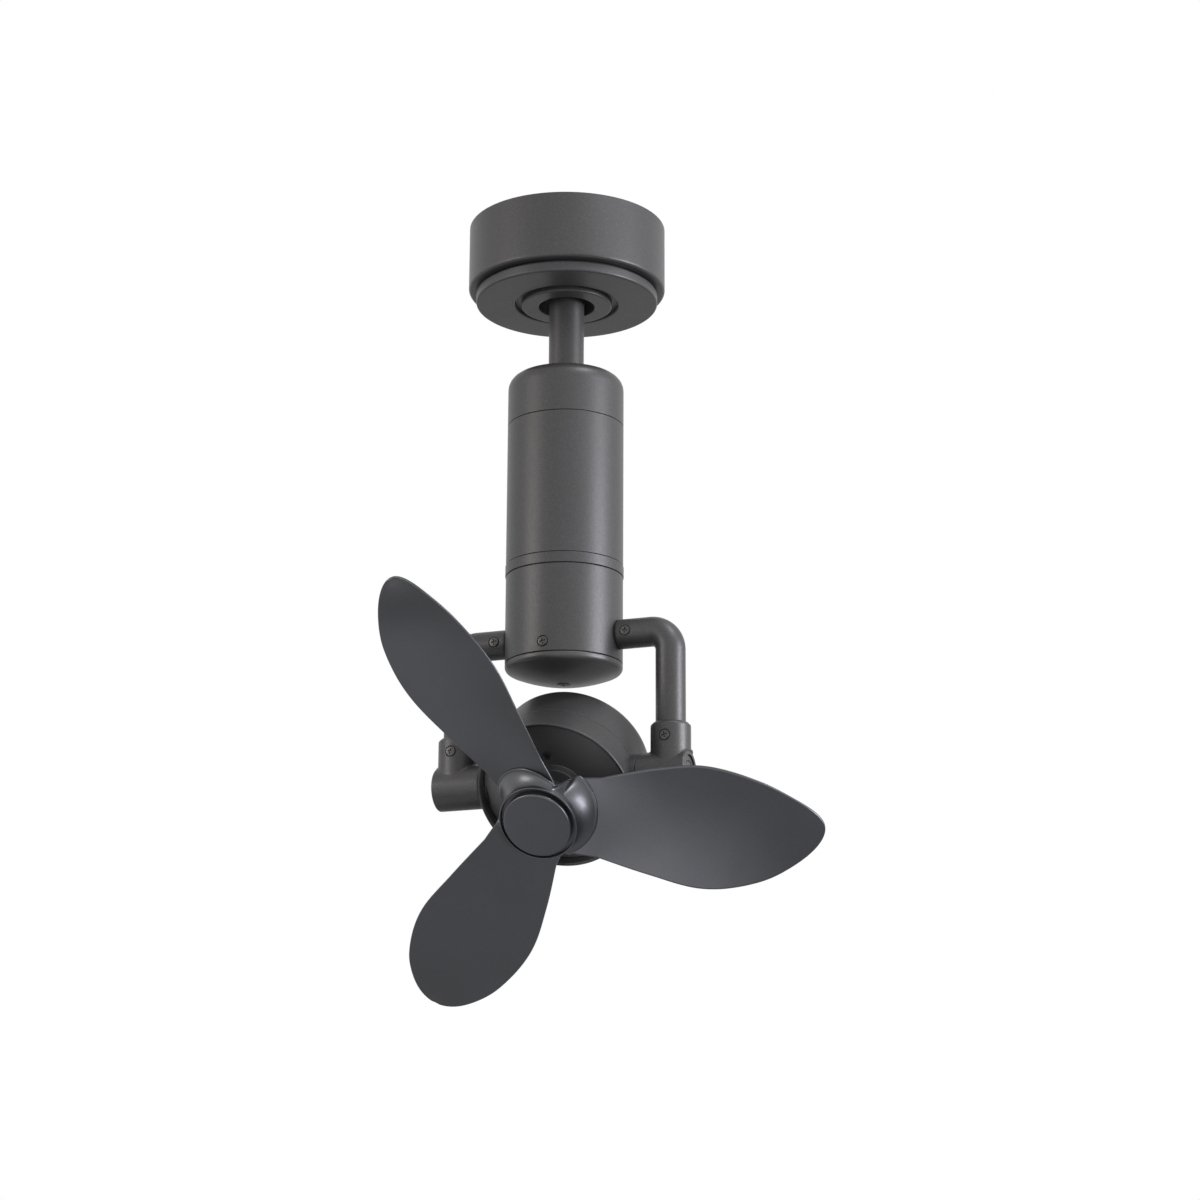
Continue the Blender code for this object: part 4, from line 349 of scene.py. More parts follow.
def white_nylon():
    """White nylon: slightly cloudy, as a cast plastic is."""
    finish = Finish("cast_nylon")
    cloud = finish.noise(NYLON_CLOUD)
    colour = finish.blend(cloud, (0.72, 0.71, 0.66, 1.0), (0.80, 0.79, 0.75, 1.0))
    return finish.close(Base_Color=colour, Roughness=0.40 + 0.10 * cloud)


def black_moulding():
    """Black glass-filled plastic with short pale fibres near its surface."""
    finish = Finish("black_moulding")
    fibres = finish.noise(FIBRE, SOFT_DETAIL, FIBRE_PULL) ** 6.0
    colour = finish.blend(fibres, (0.018, 0.018, 0.019, 1.0), (0.09, 0.09, 0.09, 1.0))
    return finish.close(Base_Color=colour, Roughness=0.45 + 0.10 * finish.noise(MOULD_CLOUD))


def copper_wire():
    """Lacquered copper wire: its turns show as close bands round the stator."""
    finish = Finish("lacquered_copper")
    turns = finish.add("ShaderNodeTexWave", {"bands_direction": "X"},
                       {"Vector": finish.place, "Scale": 1.0 / WIRE_PITCH, "Distortion": 2.0}, "Fac")
    colour = finish.blend(turns, (0.30, 0.09, 0.03, 1.0), (0.62, 0.24, 0.10, 1.0))
    return finish.close(Base_Color=colour, Metallic=0.9, Roughness=0.28 + 0.10 * turns,
                        Normal=finish.bump(turns, WIRE_DEPTH))


PAINT = (graphite_paint("graphite_paint", 0.0), "painted_steel")
# The front plate's paint, mixed towards pale grey: painted light on the shaded plate.
PLATE_PAINT_WITH_PAINTED_LIGHT = (graphite_paint("thin_graphite_paint", PLATE_PAINTED_LIGHT), "painted_steel")
# The dome's paint, mixed towards pale grey: painted light on the dim dome.
DOME_PAINT_WITH_PAINTED_LIGHT = (graphite_paint("light_graphite_paint", DOME_PAINTED_LIGHT), "painted_steel")
MOULDED = (charcoal_plastic(), "blade_plastic")
SCREW = (screw_steel(), "plain_steel")
ZINC = zinc_steel()
MACHINED = machined_steel()
AXLE = (MACHINED, "plain_steel")
NYLON = (white_nylon(), "white_nylon")
BRASS = brass()
BLACK = black_moulding()
COPPER = copper_wire()
print("materials:", ", ".join(material.name for material in bpy.data.materials if material.node_tree))

# %% [markdown]
# ## Outlines and grids
#
# A turned piece is half an outline carried round an axis. Real edges are never sharp, and the thin
# bright line on a rounded edge is what shows where one piece ends and the next starts. Blender's
# bevel could round the finished mesh, but rounding the outline first costs nothing and keeps every
# fillet at its own size.
#
# Places to build in are an origin and three axes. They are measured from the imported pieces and
# joints, so each new surface stands exactly where its piece does.

# %% Rounded outlines
ROUND_STEPS = 6
CORNER_POINTS = ROUND_STEPS + 3
SIDE_SHARE = 0.42
STAND_OFF = 0.6
SHARPEST_TURN = 3.0


def smooth_step(value):
    """0 up to 0, 1 from 1, and 3 t squared less 2 t cubed between them."""
    part = np.clip(value, 0.0, 1.0)
    return part * part * (3.0 - 2.0 * part)


def rounded(corners):
    """The points of an outline after its corners are rounded; a corner is (radius, height, fillet).

    The arc touches both sides at fillet times tan(turn / 2) from the corner, but never past a
    share of the shorter side. Between the touching points it is the conic whose middle weight is
    cos(turn / 2), which is a circle's arc. One point more stands off each end, so that the
    shading of a flat side stays flat. A fillet of 0 puts all its points on the corner.
    """
    rows = np.array(corners, float)
    places, fillet = rows[:, :2], rows[:, 2]
    back = np.roll(places, 1, axis=0) - places
    ahead = np.roll(places, -1, axis=0) - places
    back_length = np.linalg.norm(back, axis=1)
    ahead_length = np.linalg.norm(ahead, axis=1)
    back = back / back_length[:, None]
    ahead = ahead / ahead_length[:, None]
    turn = np.pi - np.arccos(np.clip((back * ahead).sum(axis=1), -1.0, 1.0))
    side = np.minimum(back_length, ahead_length)
    touch = np.minimum(fillet * np.tan(np.minimum(turn, SHARPEST_TURN) / 2), SIDE_SHARE * side)
    stand = touch + np.minimum(STAND_OFF * touch, (side / 2 - touch) / 2)
    first = places + back * touch[:, None]
    last = places + ahead * touch[:, None]
    share = np.linspace(0.0, 1.0, ROUND_STEPS + 1)[None, :, None]
    weight = np.cos(turn / 2)[:, None, None]
    parts = (1 - share) ** 2, 2 * weight * share * (1 - share), share ** 2
    arcs = parts[0] * first[:, None] + parts[1] * places[:, None] + parts[2] * last[:, None]
    arcs = arcs / (parts[0] + parts[1] + parts[2])
    before = (places + back * stand[:, None])[:, None]
    after = (places + ahead * stand[:, None])[:, None]
    return np.concatenate([before, arcs, after], axis=1).reshape(-1, 2)


print("points on each corner of an outline:", CORNER_POINTS)

# %% Grids
FINE_TURN = 240
SMALL_TURN = 96
SNAP_STEPS = 20000


def stations(low, high, count, *spots):
    """Even steps from low to high, with finer steps about each spot (centre, reach, count).

    All are snapped to one fine scale, so that steps that nearly meet become one.
    """
    fine = [np.linspace(centre - reach, centre + reach, steps) for centre, reach, steps in spots]
    values = np.concatenate([np.linspace(low, high, count)] + fine)
    grain = (high - low) / SNAP_STEPS
    return low + np.unique(np.round((values - low) / grain)) * grain


def angles(count, *spots):
    """Angles of one full turn, finer about each spot; the last step back to the first is left out."""
    return stations(-np.pi, np.pi, count + 1, *spots)[:-1]


def with_rows(outline, radius, heights):
    """The outline with more points on its longest upright side of that radius."""
    upright = np.isclose(outline[:-1, 0], radius) & np.isclose(outline[1:, 0], radius)
    step = np.argmax(np.abs(np.diff(outline[:, 1])) * upright)
    start, end = outline[step, 1], outline[step + 1, 1]
    inside = heights[(heights > min(start, end)) & (heights < max(start, end))]
    inside = inside if end > start else inside[::-1]
    rows = np.stack([np.full_like(inside, radius), inside], axis=1)
    return np.insert(outline, step + 1, rows, axis=0)


def carried_round(radius, height, angle):
    """Grid of points (radius cos a, radius sin a, height), where all three may vary over it."""
    parts = np.broadcast_arrays(radius * np.cos(angle), radius * np.sin(angle), height)
    return np.stack(parts, axis=-1)


def turned(outline, around):
    """Grid of a turned piece: the points of its outline by the angles round its axis."""
    return carried_round(outline[:, :1], outline[:, 1:], around)


def with_poles(grid, first, last):
    """The grid with one more row at each end, all of whose points fall on one pole."""
    rows = np.broadcast_to(np.array([first, last], float)[:, None], (2,) + grid.shape[1:])
    return np.concatenate([rows[:1], grid, rows[1:]])


print("steps in a fine turn:", len(angles(FINE_TURN)), "and in a small one:", len(angles(SMALL_TURN)))


# %% Places to build in
def place_at(origin, along, beside):
    """A place to build in: its third axis runs along, its first beside, and its second follows."""
    third = np.array(along, float) / np.linalg.norm(along)
    first = np.array(beside, float) - np.dot(beside, third) * third
    first = first / np.linalg.norm(first)
    return np.array(origin, float), np.stack([first, np.cross(third, first), third])


def put(points, place):
    """World points: the origin plus each local number times its axis."""
    origin, axes = place
    return origin + points @ axes


def node_points(node):
    """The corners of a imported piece, in world metres."""
    mesh = frame["nodes"][node].data
    points = np.empty(len(mesh.vertices) * 3)
    mesh.vertices.foreach_get("co", points)
    return points.reshape(-1, 3)


def measure(node, place):
    """Largest radius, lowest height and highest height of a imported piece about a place's axis."""
    origin, axes = place
    local = (node_points(node) - origin) @ axes.T
    return np.hypot(local[:, 0], local[:, 1]).max(), local[:, 2].min(), local[:, 2].max()


def middle_of(node, along, beside):
    """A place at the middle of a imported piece, with its axis along the piece's own."""
    _, axes = place_at((0, 0, 0), along, beside)
    local = node_points(node) @ axes.T
    return (local.min(axis=0) + local.max(axis=0)) / 2 @ axes, axes


CEILING = place_at((0, 0, 0), WORLD_UP, (1, 0, 0))
tilt_axis = joints["head_tilt"]["axis"]
TILT_PLACE = np.array(joints["head_tilt"]["pos_m"], float)
HEAD = place_at(joints["propeller_spin"]["pos_m"], joints["propeller_spin"]["axis"], tilt_axis)
print("the fan's axis points", np.round(HEAD[1][2], 3), "from", np.round(TILT_PLACE / MM, 1), "mm")

# %% [markdown]
# ## From a grid to a piece
#
# A skin is a grid of points and the quads between them. A piece may have several skins, as a tee
# has a barrel and a socket. Points that fall on each other are joined, which shuts the seam of a
# turned skin and the pole at its axis. Then the faces are turned outwards, and the piece is set to
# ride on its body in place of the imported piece.

# %% Making the pieces
JOIN_DISTANCE = 1e-6


def skin(grid, wrap_rows=False, wrap_columns=True):
    """Points and quads of a grid; a wrapped side is joined back to its start."""
    rows, columns = grid.shape[:2]
    index = np.arange(rows * columns).reshape(rows, columns)
    if wrap_columns:
        index = np.concatenate([index, index[:, :1]], axis=1)
    if wrap_rows:
        index = np.concatenate([index, index[:1]], axis=0)
    quads = np.stack([index[:-1, :-1], index[:-1, 1:], index[1:, 1:], index[1:, :-1]], axis=-1)
    return grid.reshape(-1, 3), quads.reshape(-1, 4)


def piece(node, skins, look, body):
    """One object from its skins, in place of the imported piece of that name."""
    starts = np.cumsum([0] + [len(points) for points, quads in skins])
    points = np.concatenate([points for points, quads in skins])
    quads = np.concatenate([quads + start for (_, quads), start in zip(skins, starts)])
    mesh = bpy.data.meshes.new(node + "_surface")
    mesh.from_pydata(points, [], quads)
    work = bmesh.new()
    work.from_mesh(mesh)
    bmesh.ops.remove_doubles(work, verts=work.verts, dist=JOIN_DISTANCE)
    bmesh.ops.recalc_face_normals(work, faces=work.faces)
    gaps = sum(not edge.is_manifold for edge in work.edges)
    work.to_mesh(mesh)
    work.free()
    mesh.shade_smooth()
    mesh.materials.append(look[0])
    made = bpy.data.objects.new(node + "_surface", mesh)
    bpy.context.scene.collection.objects.link(made)
    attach(made, body)
    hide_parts(node)
    print(f"{made.name}: {len(mesh.polygons)} faces, {gaps} open edges")


def tube_piece(node, corners, place, look, body, sides=FINE_TURN):
    """A turned piece that is open along its axis: its outline closes on itself."""
    grid = turned(rounded(corners), angles(sides))
    piece(node, [skin(put(grid, place), wrap_rows=True)], look, body)


def solid_piece(node, corners, place, look, body, sides=FINE_TURN):
    """A turned piece whose outline starts and ends on its axis."""
    grid = turned(rounded(corners), angles(sides))
    piece(node, [skin(put(grid, place))], look, body)


print("piece tools ready")

# %% [markdown]
# ## Canopy
#
# The canopy is a cup drawn from thin steel that hides the bracket and the wires at the ceiling.
# Below it hangs the cover ring, a necked tray that hides the canopy's screws: it has a dark neck
# under the canopy's edge, a wide band, a groove in its floor and a raised boss round the rod.
# Both could be cut from one block, but they are two drawn sheets with a gap, and that gap is the
# dark line in the photograph.

# %% Canopy shell and cover ring
SHEET = 1.6 * MM
CANOPY_EDGE = 2.2 * MM
CANOPY_HOLE = 23.3 * MM
COVER_NECK_INSET = 2.4 * MM
COVER_NECK = 1.3 * MM
COVER_EDGE = 1.4 * MM
COVER_TOP_EDGE = 1.0 * MM
COVER_HOLE = 21.4 * MM
COVER_BOSS = 34.5 * MM
COVER_BOSS_DROP = 2.0 * MM
BOSS_EDGE = 1.1 * MM
HOLE_EDGE = 0.6 * MM
GROOVE_WIDTH = 5.3 * MM
GROOVE_DEPTH = 3.0 * MM
GROOVE_SLOPE = 0.9 * MM
SMALL_EDGE = 0.4 * MM
TINY_EDGE = 0.2 * MM
FIT = 0.3 * MM


def canopy_shell():
    """A cup: outer wall, floor with its round opening, and the same again one sheet inside."""
    radius, low, high = measure("canopy_shell", CEILING)
    corners = [
        (radius, high, TINY_EDGE),
        (radius, low, CANOPY_EDGE),
        (CANOPY_HOLE, low, SMALL_EDGE),
        (CANOPY_HOLE, low + SHEET, SMALL_EDGE),
        (radius - SHEET, low + SHEET, CANOPY_EDGE),
        (radius - SHEET, high, TINY_EDGE),
    ]
    tube_piece("canopy_shell", corners, CEILING, PAINT, "ceiling_mount")


def canopy_cover_ring():
    """A necked tray: neck, wide band, floor with a groove, boss, and a collar inside."""
    radius, boss, collar = measure("canopy_cover_ring", CEILING)
    floor = boss + COVER_BOSS_DROP
    top = measure("canopy_shell", CEILING)[1] - FIT
    step = top - COVER_NECK
    neck = radius - COVER_NECK_INSET
    groove = floor + GROOVE_DEPTH
    corners = [
        (neck, top, TINY_EDGE),
        (neck, step, SMALL_EDGE),
        (radius, step, COVER_TOP_EDGE),
        (radius, floor, COVER_EDGE),
        (COVER_BOSS + GROOVE_WIDTH, floor, GROOVE_SLOPE),
        (COVER_BOSS + GROOVE_WIDTH - GROOVE_SLOPE, groove, SMALL_EDGE),
        (COVER_BOSS, groove, SMALL_EDGE),
        (COVER_BOSS, boss, BOSS_EDGE),
        (COVER_HOLE, boss, HOLE_EDGE),
        (COVER_HOLE, collar, SMALL_EDGE),
        (COVER_HOLE + SHEET, collar, SMALL_EDGE),
        (COVER_HOLE + SHEET, groove + SHEET, SMALL_EDGE),
        (neck - SHEET, groove + SHEET, SMALL_EDGE),
        (neck - SHEET, top, TINY_EDGE),
    ]
    tube_piece("canopy_cover_ring", corners, CEILING, PAINT, "ceiling_mount")


canopy_shell()
canopy_cover_ring()

# %% [markdown]
# ## Ball, rod and housing
#
# A truncated nylon ball sits in the bracket and lets the fan hang plumb. The rod is a plain pipe,
# and the housing on it is a rounded cap, a long tube and a short band. They are three shells with
# hairline seams, because each is turned or cut to length on its own and then pressed together.

# %% Hanger ball, downrod and the three shells of the housing
ROD_WALL = 2.3 * MM
BALL_RADIUS = 20.0 * MM
HOUSING_WALL = 2.5 * MM
HOUSING_FILLET = 10.5 * MM
SEAM_EDGE = 0.45 * MM
BALL_STEPS = 25


def downrod():
    """A pipe: two walls and two rounded ends."""
    radius, low, high = measure("downrod", CEILING)
    corners = [
        (radius, low, SMALL_EDGE),
        (radius, high, SMALL_EDGE),
        (radius - ROD_WALL, high, SMALL_EDGE),
        (radius - ROD_WALL, low, SMALL_EDGE),
    ]
    tube_piece("downrod", corners, CEILING, PAINT, "hanger", SMALL_TURN)
    return radius


def hanger_ball(bore):
    """The sphere of radius R between its two cuts: radius is the root of R squared less h squared."""
    centre = joints["hanger_swing"]["pos_m"][2]
    _, low, high = measure("hanger_ball", CEILING)
    heights = np.linspace(low - centre, high - centre, BALL_STEPS)
    outside = np.stack([np.sqrt(BALL_RADIUS ** 2 - heights ** 2), heights + centre], axis=1)
    inside = np.array([[bore, high], [bore, low]])
    grid = turned(np.concatenate([outside, inside]), angles(SMALL_TURN))
    piece("hanger_ball", [skin(grid, wrap_rows=True)], NYLON, "hanger")


def housing(rod_radius):
    """Cap with its large fillet, tube, and band; all three hollow."""
    radius, _, high = measure("housing_top_cap", CEILING)
    seam = measure("housing_tube", CEILING)[2] + FIT
    inside = radius - HOUSING_WALL
    hole = rod_radius + FIT
    cap = [
        (hole, high, SMALL_EDGE),
        (radius, high, HOUSING_FILLET),
        (radius, seam, SEAM_EDGE),
        (inside, seam, TINY_EDGE),
        (inside, high - HOUSING_WALL, HOUSING_FILLET - HOUSING_WALL),
        (hole, high - HOUSING_WALL, SMALL_EDGE),
    ]
    tube_piece("housing_top_cap", cap, CEILING, PAINT, "hanger")
    tube_radius, tube_low, tube_high = measure("housing_tube", CEILING)
    tube = [
        (tube_radius, tube_low, SEAM_EDGE),
        (tube_radius, tube_high, SEAM_EDGE),
        (tube_radius - HOUSING_WALL, tube_high, TINY_EDGE),
        (tube_radius - HOUSING_WALL, tube_low, TINY_EDGE),
    ]
    tube_piece("housing_tube", tube, CEILING, PAINT, "hanger")
    band_radius, band_low, _ = measure("housing_base", CEILING)
    band = [
        (band_radius, band_low, SEAM_EDGE),
        (band_radius, tube_low - FIT, SEAM_EDGE),
        (inside, tube_low - FIT, TINY_EDGE),
        (inside, band_low + HOUSING_WALL, TINY_EDGE),
        (hole, band_low + HOUSING_WALL, TINY_EDGE),
        (hole, band_low, TINY_EDGE),
    ]
    tube_piece("housing_base", band, CEILING, PAINT, "hanger")


rod_radius = downrod()
hanger_ball(rod_radius + FIT)
housing(rod_radius)

# %% [markdown]
# ## Screws and the pockets they sit in
#
# The screws have domed heads with a cross recess, and each sits in a shallow round pocket, so it
# shows as a dark ring with a lighter disc in it. A pocket could be cut with a Boolean, which would
# leave long thin faces that shade badly on a curved wall. Here the wall's own grid is made finer
# about the pocket and is pushed in there, which keeps the curved wall smooth up to the edge.

# %% Screw heads and pockets
POCKET_EDGE = 0.22 * MM
SIDE_POCKET = 4.15 * MM
SIDE_POCKET_DEPTH = 1.0 * MM
SIDE_REACH = SIDE_POCKET + 2 * POCKET_EDGE
SIDE_HEAD = 1.2 * MM
WALL_REACH = 1.6 * MM
FINE_STEP = 0.2 * MM
TO_FRONT = np.array([0.0, -1.0, 0.0])
CROSS_WIDTH = 0.95 * MM
CROSS_REACH = 0.62
CROSS_DEPTH = 1.1 * MM
CROSS_SLOPE = 0.14 * MM
CROWN = 0.2
CROWN_POWER = 2.5
HEAD_ROWS = 34
SHANK_SHARE = 0.5


def fine_spot(centre, reach, step):
    """A spot for stations(): as many steps as keep them at the wanted size."""
    return centre, reach, int(2 * reach / step) + 1


def round_the_wall(sides, radius):
    """Angles round a wall of that radius, finer at its front, where its screw sits."""
    return angles(sides, fine_spot(-np.pi / 2, SIDE_REACH / radius, FINE_STEP / radius))


def with_pocket(points, centre):
    """Points round the front screw at that centre are moved back by the pocket's depth.

    Distance from the screw's line decides how much: the full depth well inside, none outside,
    and a smooth step of one pocket edge between them. Only the near skin of a wall is moved.
    """
    offset = points - np.array(centre)
    along = offset @ TO_FRONT
    distance = np.linalg.norm(offset - along[..., None] * TO_FRONT, axis=-1)
    near = np.abs(along) < WALL_REACH
    share = smooth_step((SIDE_POCKET - distance) / POCKET_EDGE + 0.5) * near
    return points - (share * SIDE_POCKET_DEPTH)[..., None] * TO_FRONT


def screw_spot(node):
    """The middle of a screw's box, as its distance from the centre line and its height."""
    low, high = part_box(node)
    return abs(low.x + high.x) / 2, (low.z + high.z) / 2


def screw(node, along, beside, head_height, look, body):
    """A screw with a domed head: the dome falls as a power of the radius, less the cross recess.

    The recess is where the smaller of |x| and |y| is within half its width and the larger within
    its reach; a smooth step down its walls gives it the slope of a driver's point.
    """
    place = middle_of(node, along, beside)
    radius, low, high = measure(node, place)
    seat = high - head_height
    crown = CROWN * head_height
    shank = radius * SHANK_SHARE
    across = np.linspace(0.0, 1.0, HEAD_ROWS)
    dome = np.stack([radius * across, high - crown * across ** CROWN_POWER], axis=1)
    under = rounded([(radius, high - crown, TINY_EDGE), (radius, seat, TINY_EDGE), (shank, seat, TINY_EDGE),
                     (shank, low, TINY_EDGE), (0, low, 0), (0, high, 0)])
    under = under[under[:, 1] < high - crown - 0.5 * TINY_EDGE]
    grid = turned(np.concatenate([dome[:-1], under]), angles(SMALL_TURN))
    sides = np.abs(grid[:len(dome) - 1, :, :2])
    wall = np.maximum(sides.min(axis=-1) - CROSS_WIDTH / 2, sides.max(axis=-1) - CROSS_REACH * radius)
    grid[:len(dome) - 1, :, 2] -= CROSS_DEPTH * smooth_step(-wall / CROSS_SLOPE)
    piece(node, [skin(put(grid, place))], look, body)


def front_screw(node, slant):
    """One of the screws in the front of the yoke; its cross is turned by the slant."""
    screw(node, TO_FRONT, (1, 0, slant), SIDE_HEAD, SCREW, "yoke")


print("screw tools ready")

# %% [markdown]
# ## Hub of the yoke
#
# The hub turns under the band. It is a drum whose lower rim stands off a dark groove, and the dome
# under it closes the drum with one screw in its middle. The dome is so shallow that a sphere would
# look too full at the edge and too flat below; a power curve fits the outline in the photograph.

# %% Yoke hub
HUB_TOP_PLATE = 3.0 * MM
HUB_BORE = 8.8 * MM
WALL_ROWS = 12
WALL_MARGIN = 1.0 * MM

hub_radius, hub_low, hub_high = measure("yoke_hub", CEILING)


def yoke_hub():
    """A drum open below, with the pocket of the front screw pushed into its wall."""
    _, screw_height = screw_spot("cap_screw_front")
    spot = fine_spot(screw_height, SIDE_REACH, FINE_STEP)
    heights = stations(hub_low + WALL_MARGIN, hub_high - WALL_MARGIN, WALL_ROWS, spot)
    wall = hub_radius - HOUSING_WALL
    corners = [
        (hub_radius, hub_low, SEAM_EDGE),
        (hub_radius, hub_high, SEAM_EDGE),
        (HUB_BORE, hub_high, TINY_EDGE),
        (HUB_BORE, hub_high - HUB_TOP_PLATE, TINY_EDGE),
        (wall, hub_high - HUB_TOP_PLATE, SMALL_EDGE),
        (wall, hub_low, TINY_EDGE),
    ]
    outline = with_rows(rounded(corners), hub_radius, heights)
    grid = turned(outline, round_the_wall(FINE_TURN, hub_radius))
    grid = with_pocket(grid, (0.0, -hub_radius, screw_height))
    piece("yoke_hub", [skin(grid, wrap_rows=True)], PAINT, "yoke")


yoke_hub()

# %% Dome cap, and the screws of hub and dome
DOME_LIP = 3.8 * MM
DOME_BAND = 2.2 * MM
DOME_LIP_EDGE = 0.9 * MM
DOME_SOFTNESS = 3.0 * MM
DOME_CORNER = 1.6 * MM
DOME_CORNER_TURN = 70.0
DOME_CORNER_STEPS = 18
DOME_DEPTH = 11.1 * MM
DOME_POWER = 1.85
DOME_WALL = 2.2 * MM
DOME_POCKET = 4.9 * MM
DOME_POCKET_RIM = 1.0 * MM
DOME_SUNK = 1.4 * MM
DOME_HEAD = 1.6 * MM
DOME_ROWS = 48
HUB_SLANT = 0.25
DOME_SLANT = 0.3


def dome_cap():
    """The lip, a soft corner, then a height that rises from the apex as a power of the radius.

    Height = apex + (start - apex) times (radius / start radius) to the power. The corner leaves
    the lip upright and joins that curve along its slope: with t from 0 to 1 it is (1 - t) squared
    of the first point, 2 t (1 - t) of the point where both directions meet and t squared of the
    last. The pocket of the centre screw is a round hole with a flat floor.
    """
    lip_top = hub_low - FIT
    lip = lip_top - DOME_LIP
    apex = lip - DOME_DEPTH
    collar = hub_radius - HOUSING_WALL - FIT
    collar_top = measure("dome_cap", CEILING)[2]
    turn = np.radians(DOME_CORNER_TURN)
    start_radius = hub_radius - DOME_CORNER * (1 - np.cos(turn))
    start_height = lip - DOME_CORNER * np.sin(turn)
    radius = np.linspace(hub_radius - DOME_SOFTNESS, DOME_POCKET + DOME_POCKET_RIM, DOME_ROWS)
    height = apex + (start_height - apex) * (radius / start_radius) ** DOME_POWER
    slope = DOME_POWER * (height[0] - apex) / radius[0]
    meeting = (hub_radius, height[0] + slope * DOME_SOFTNESS)
    share = np.linspace(0.0, 1.0, DOME_CORNER_STEPS)[:-1, None]
    ends = np.array([[hub_radius, lip_top - DOME_BAND], meeting, [radius[0], height[0]]])
    corner = (1 - share) ** 2 * ends[0] + 2 * share * (1 - share) * ends[1] + share ** 2 * ends[2]
    inside = rounded([
        (0, apex + 2 * DOME_WALL, 0),
        (collar - DOME_WALL, lip_top - DOME_WALL, SMALL_EDGE),
        (collar - DOME_WALL, collar_top, TINY_EDGE),
        (collar, collar_top, TINY_EDGE),
        (collar, lip_top, TINY_EDGE),
        (hub_radius, lip_top, DOME_LIP_EDGE),
        (hub_radius, lip_top - DOME_BAND, 0),
    ])
    pocket = rounded([
        (radius[-1], height[-1], 0),
        (DOME_POCKET, height[-1], SMALL_EDGE),
        (DOME_POCKET, apex + DOME_SUNK, TINY_EDGE),
        (0, apex + DOME_SUNK, 0),
    ])
    outline = np.concatenate([inside, corner, np.stack([radius, height], axis=1), pocket])
    # The dome's paint carries painted light: mixed towards pale grey to lift its shade.
    piece("dome_cap", [skin(turned(outline, angles(FINE_TURN)))], DOME_PAINT_WITH_PAINTED_LIGHT, "yoke")


dome_cap()
front_screw("cap_screw_front", HUB_SLANT)
screw("dome_screw", (0, 0, -1), (1, DOME_SLANT, 0), DOME_HEAD, PAINT, "yoke")

# %% [markdown]
# ## Arms
#
# Each arm is one tube, bent through a quarter turn and fixed to the hub by a screw in its front.
# Blender could bevel a curve into a tube, but a grid along the route lets the end follow the round
# wall of the hub, as a fitter files it, and takes the screw's pocket too.

# %% Bent arms and their screws
ARM_BEND = 14.7 * MM
ARM_STEP = 1.4 * MM
ARM_START = 1.6 * MM
ARM_TURN = 72
ARM_SLANT = -0.2
SIDES = ((-1, "left"), (1, "right"))
arm_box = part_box("yoke_arm_right")
arm_radius = (arm_box[1].y - arm_box[0].y) / 2
arm_height = arm_box[1].z - arm_radius
arm_x = arm_box[1].x - arm_radius
arm_bottom = arm_box[0].z


def arm_route(along):
    """Centre line of an arm by the length run: level out of the hub, a quarter turn, then down.

    Turned angle t is (length - level) / bend, held between 0 and a quarter turn. The place is
    start + min(length, level) + bend sin t across, and bend (1 - cos t) + the rest of the length
    below the level part.
    """
    start = hub_radius - ARM_START
    level = arm_x - ARM_BEND - start
    turn = np.clip((along - level) / ARM_BEND, 0.0, np.pi / 2)
    across = start + np.minimum(along, level) + ARM_BEND * np.sin(turn)
    rest = np.maximum(along - level - ARM_BEND * np.pi / 2, 0.0)
    return across, arm_height - ARM_BEND * (1 - np.cos(turn)) - rest, turn


def yoke_arm(side, name):
    """A tube: centre + radius (cos a times the outward normal + sin a times the level one).

    Its first ring is moved out onto the hub's wall, where x is the root of R squared less y
    squared, and a pole closes each end out of sight.
    """
    screw_x, screw_height = screw_spot("arm_screw_" + name)
    start = hub_radius - ARM_START
    straight = arm_x - ARM_BEND - start
    length = straight + ARM_BEND * np.pi / 2 + arm_height - ARM_BEND - arm_bottom
    spot = fine_spot(screw_x - start, SIDE_REACH, FINE_STEP)
    along = np.concatenate([[0.0], stations(2 * ARM_START, length, int(length / ARM_STEP), spot)])
    around = round_the_wall(ARM_TURN, arm_radius)
    across, height, turn = (values[:, None] for values in arm_route(along))
    x = across + arm_radius * np.cos(around) * np.sin(turn)
    y = arm_radius * np.sin(around) + 0 * turn
    z = height + arm_radius * np.cos(around) * np.cos(turn)
    x[0] = np.sqrt((hub_radius + 0.5 * TINY_EDGE) ** 2 - y[0] ** 2)
    grid = np.stack([side * x, y, z], axis=-1)
    grid = with_pocket(grid, (side * screw_x, -arm_radius, screw_height))
    grid = with_poles(grid, (side * start, 0, arm_height), (side * arm_x, 0, arm_bottom))
    piece("yoke_arm_" + name, [skin(grid)], PAINT, "yoke")
    front_screw("arm_screw_" + name, ARM_SLANT * side)


for side, name in SIDES:
    yoke_arm(side, name)

# %% [markdown]
# ## Tees
#
# A cast tee holds each arm's foot in its upright socket and the head's pivot in its level barrel.
# The casting's inside corner is soft: the socket flares out onto the barrel. Joining two cylinders
# with a Boolean would leave that corner sharp. Here the socket's lowest rings are worked out from
# the barrel's own surface, so they meet it along the saddle line that shows in the photograph.

# %% Upright sockets of the tees
SOCKET_RADIUS = 14.7 * MM
SOCKET_SHOULDER = 2.1 * MM
SHOULDER_EDGE = 1.6 * MM
SOCKET_LIP = 12.6 * MM
SOCKET_LIP_EDGE = 0.9 * MM
SOCKET_FLARE = 1.3 * MM
SOCKET_PLAIN = 20.0 * MM
UNDERCUT = 2.0 * MM
UNDERCUT_DROP = 1.5 * MM
FLOOR_SUNK = 3.0 * MM
CAP_DEPTH = 3.6 * MM
LINE_STEPS = 10


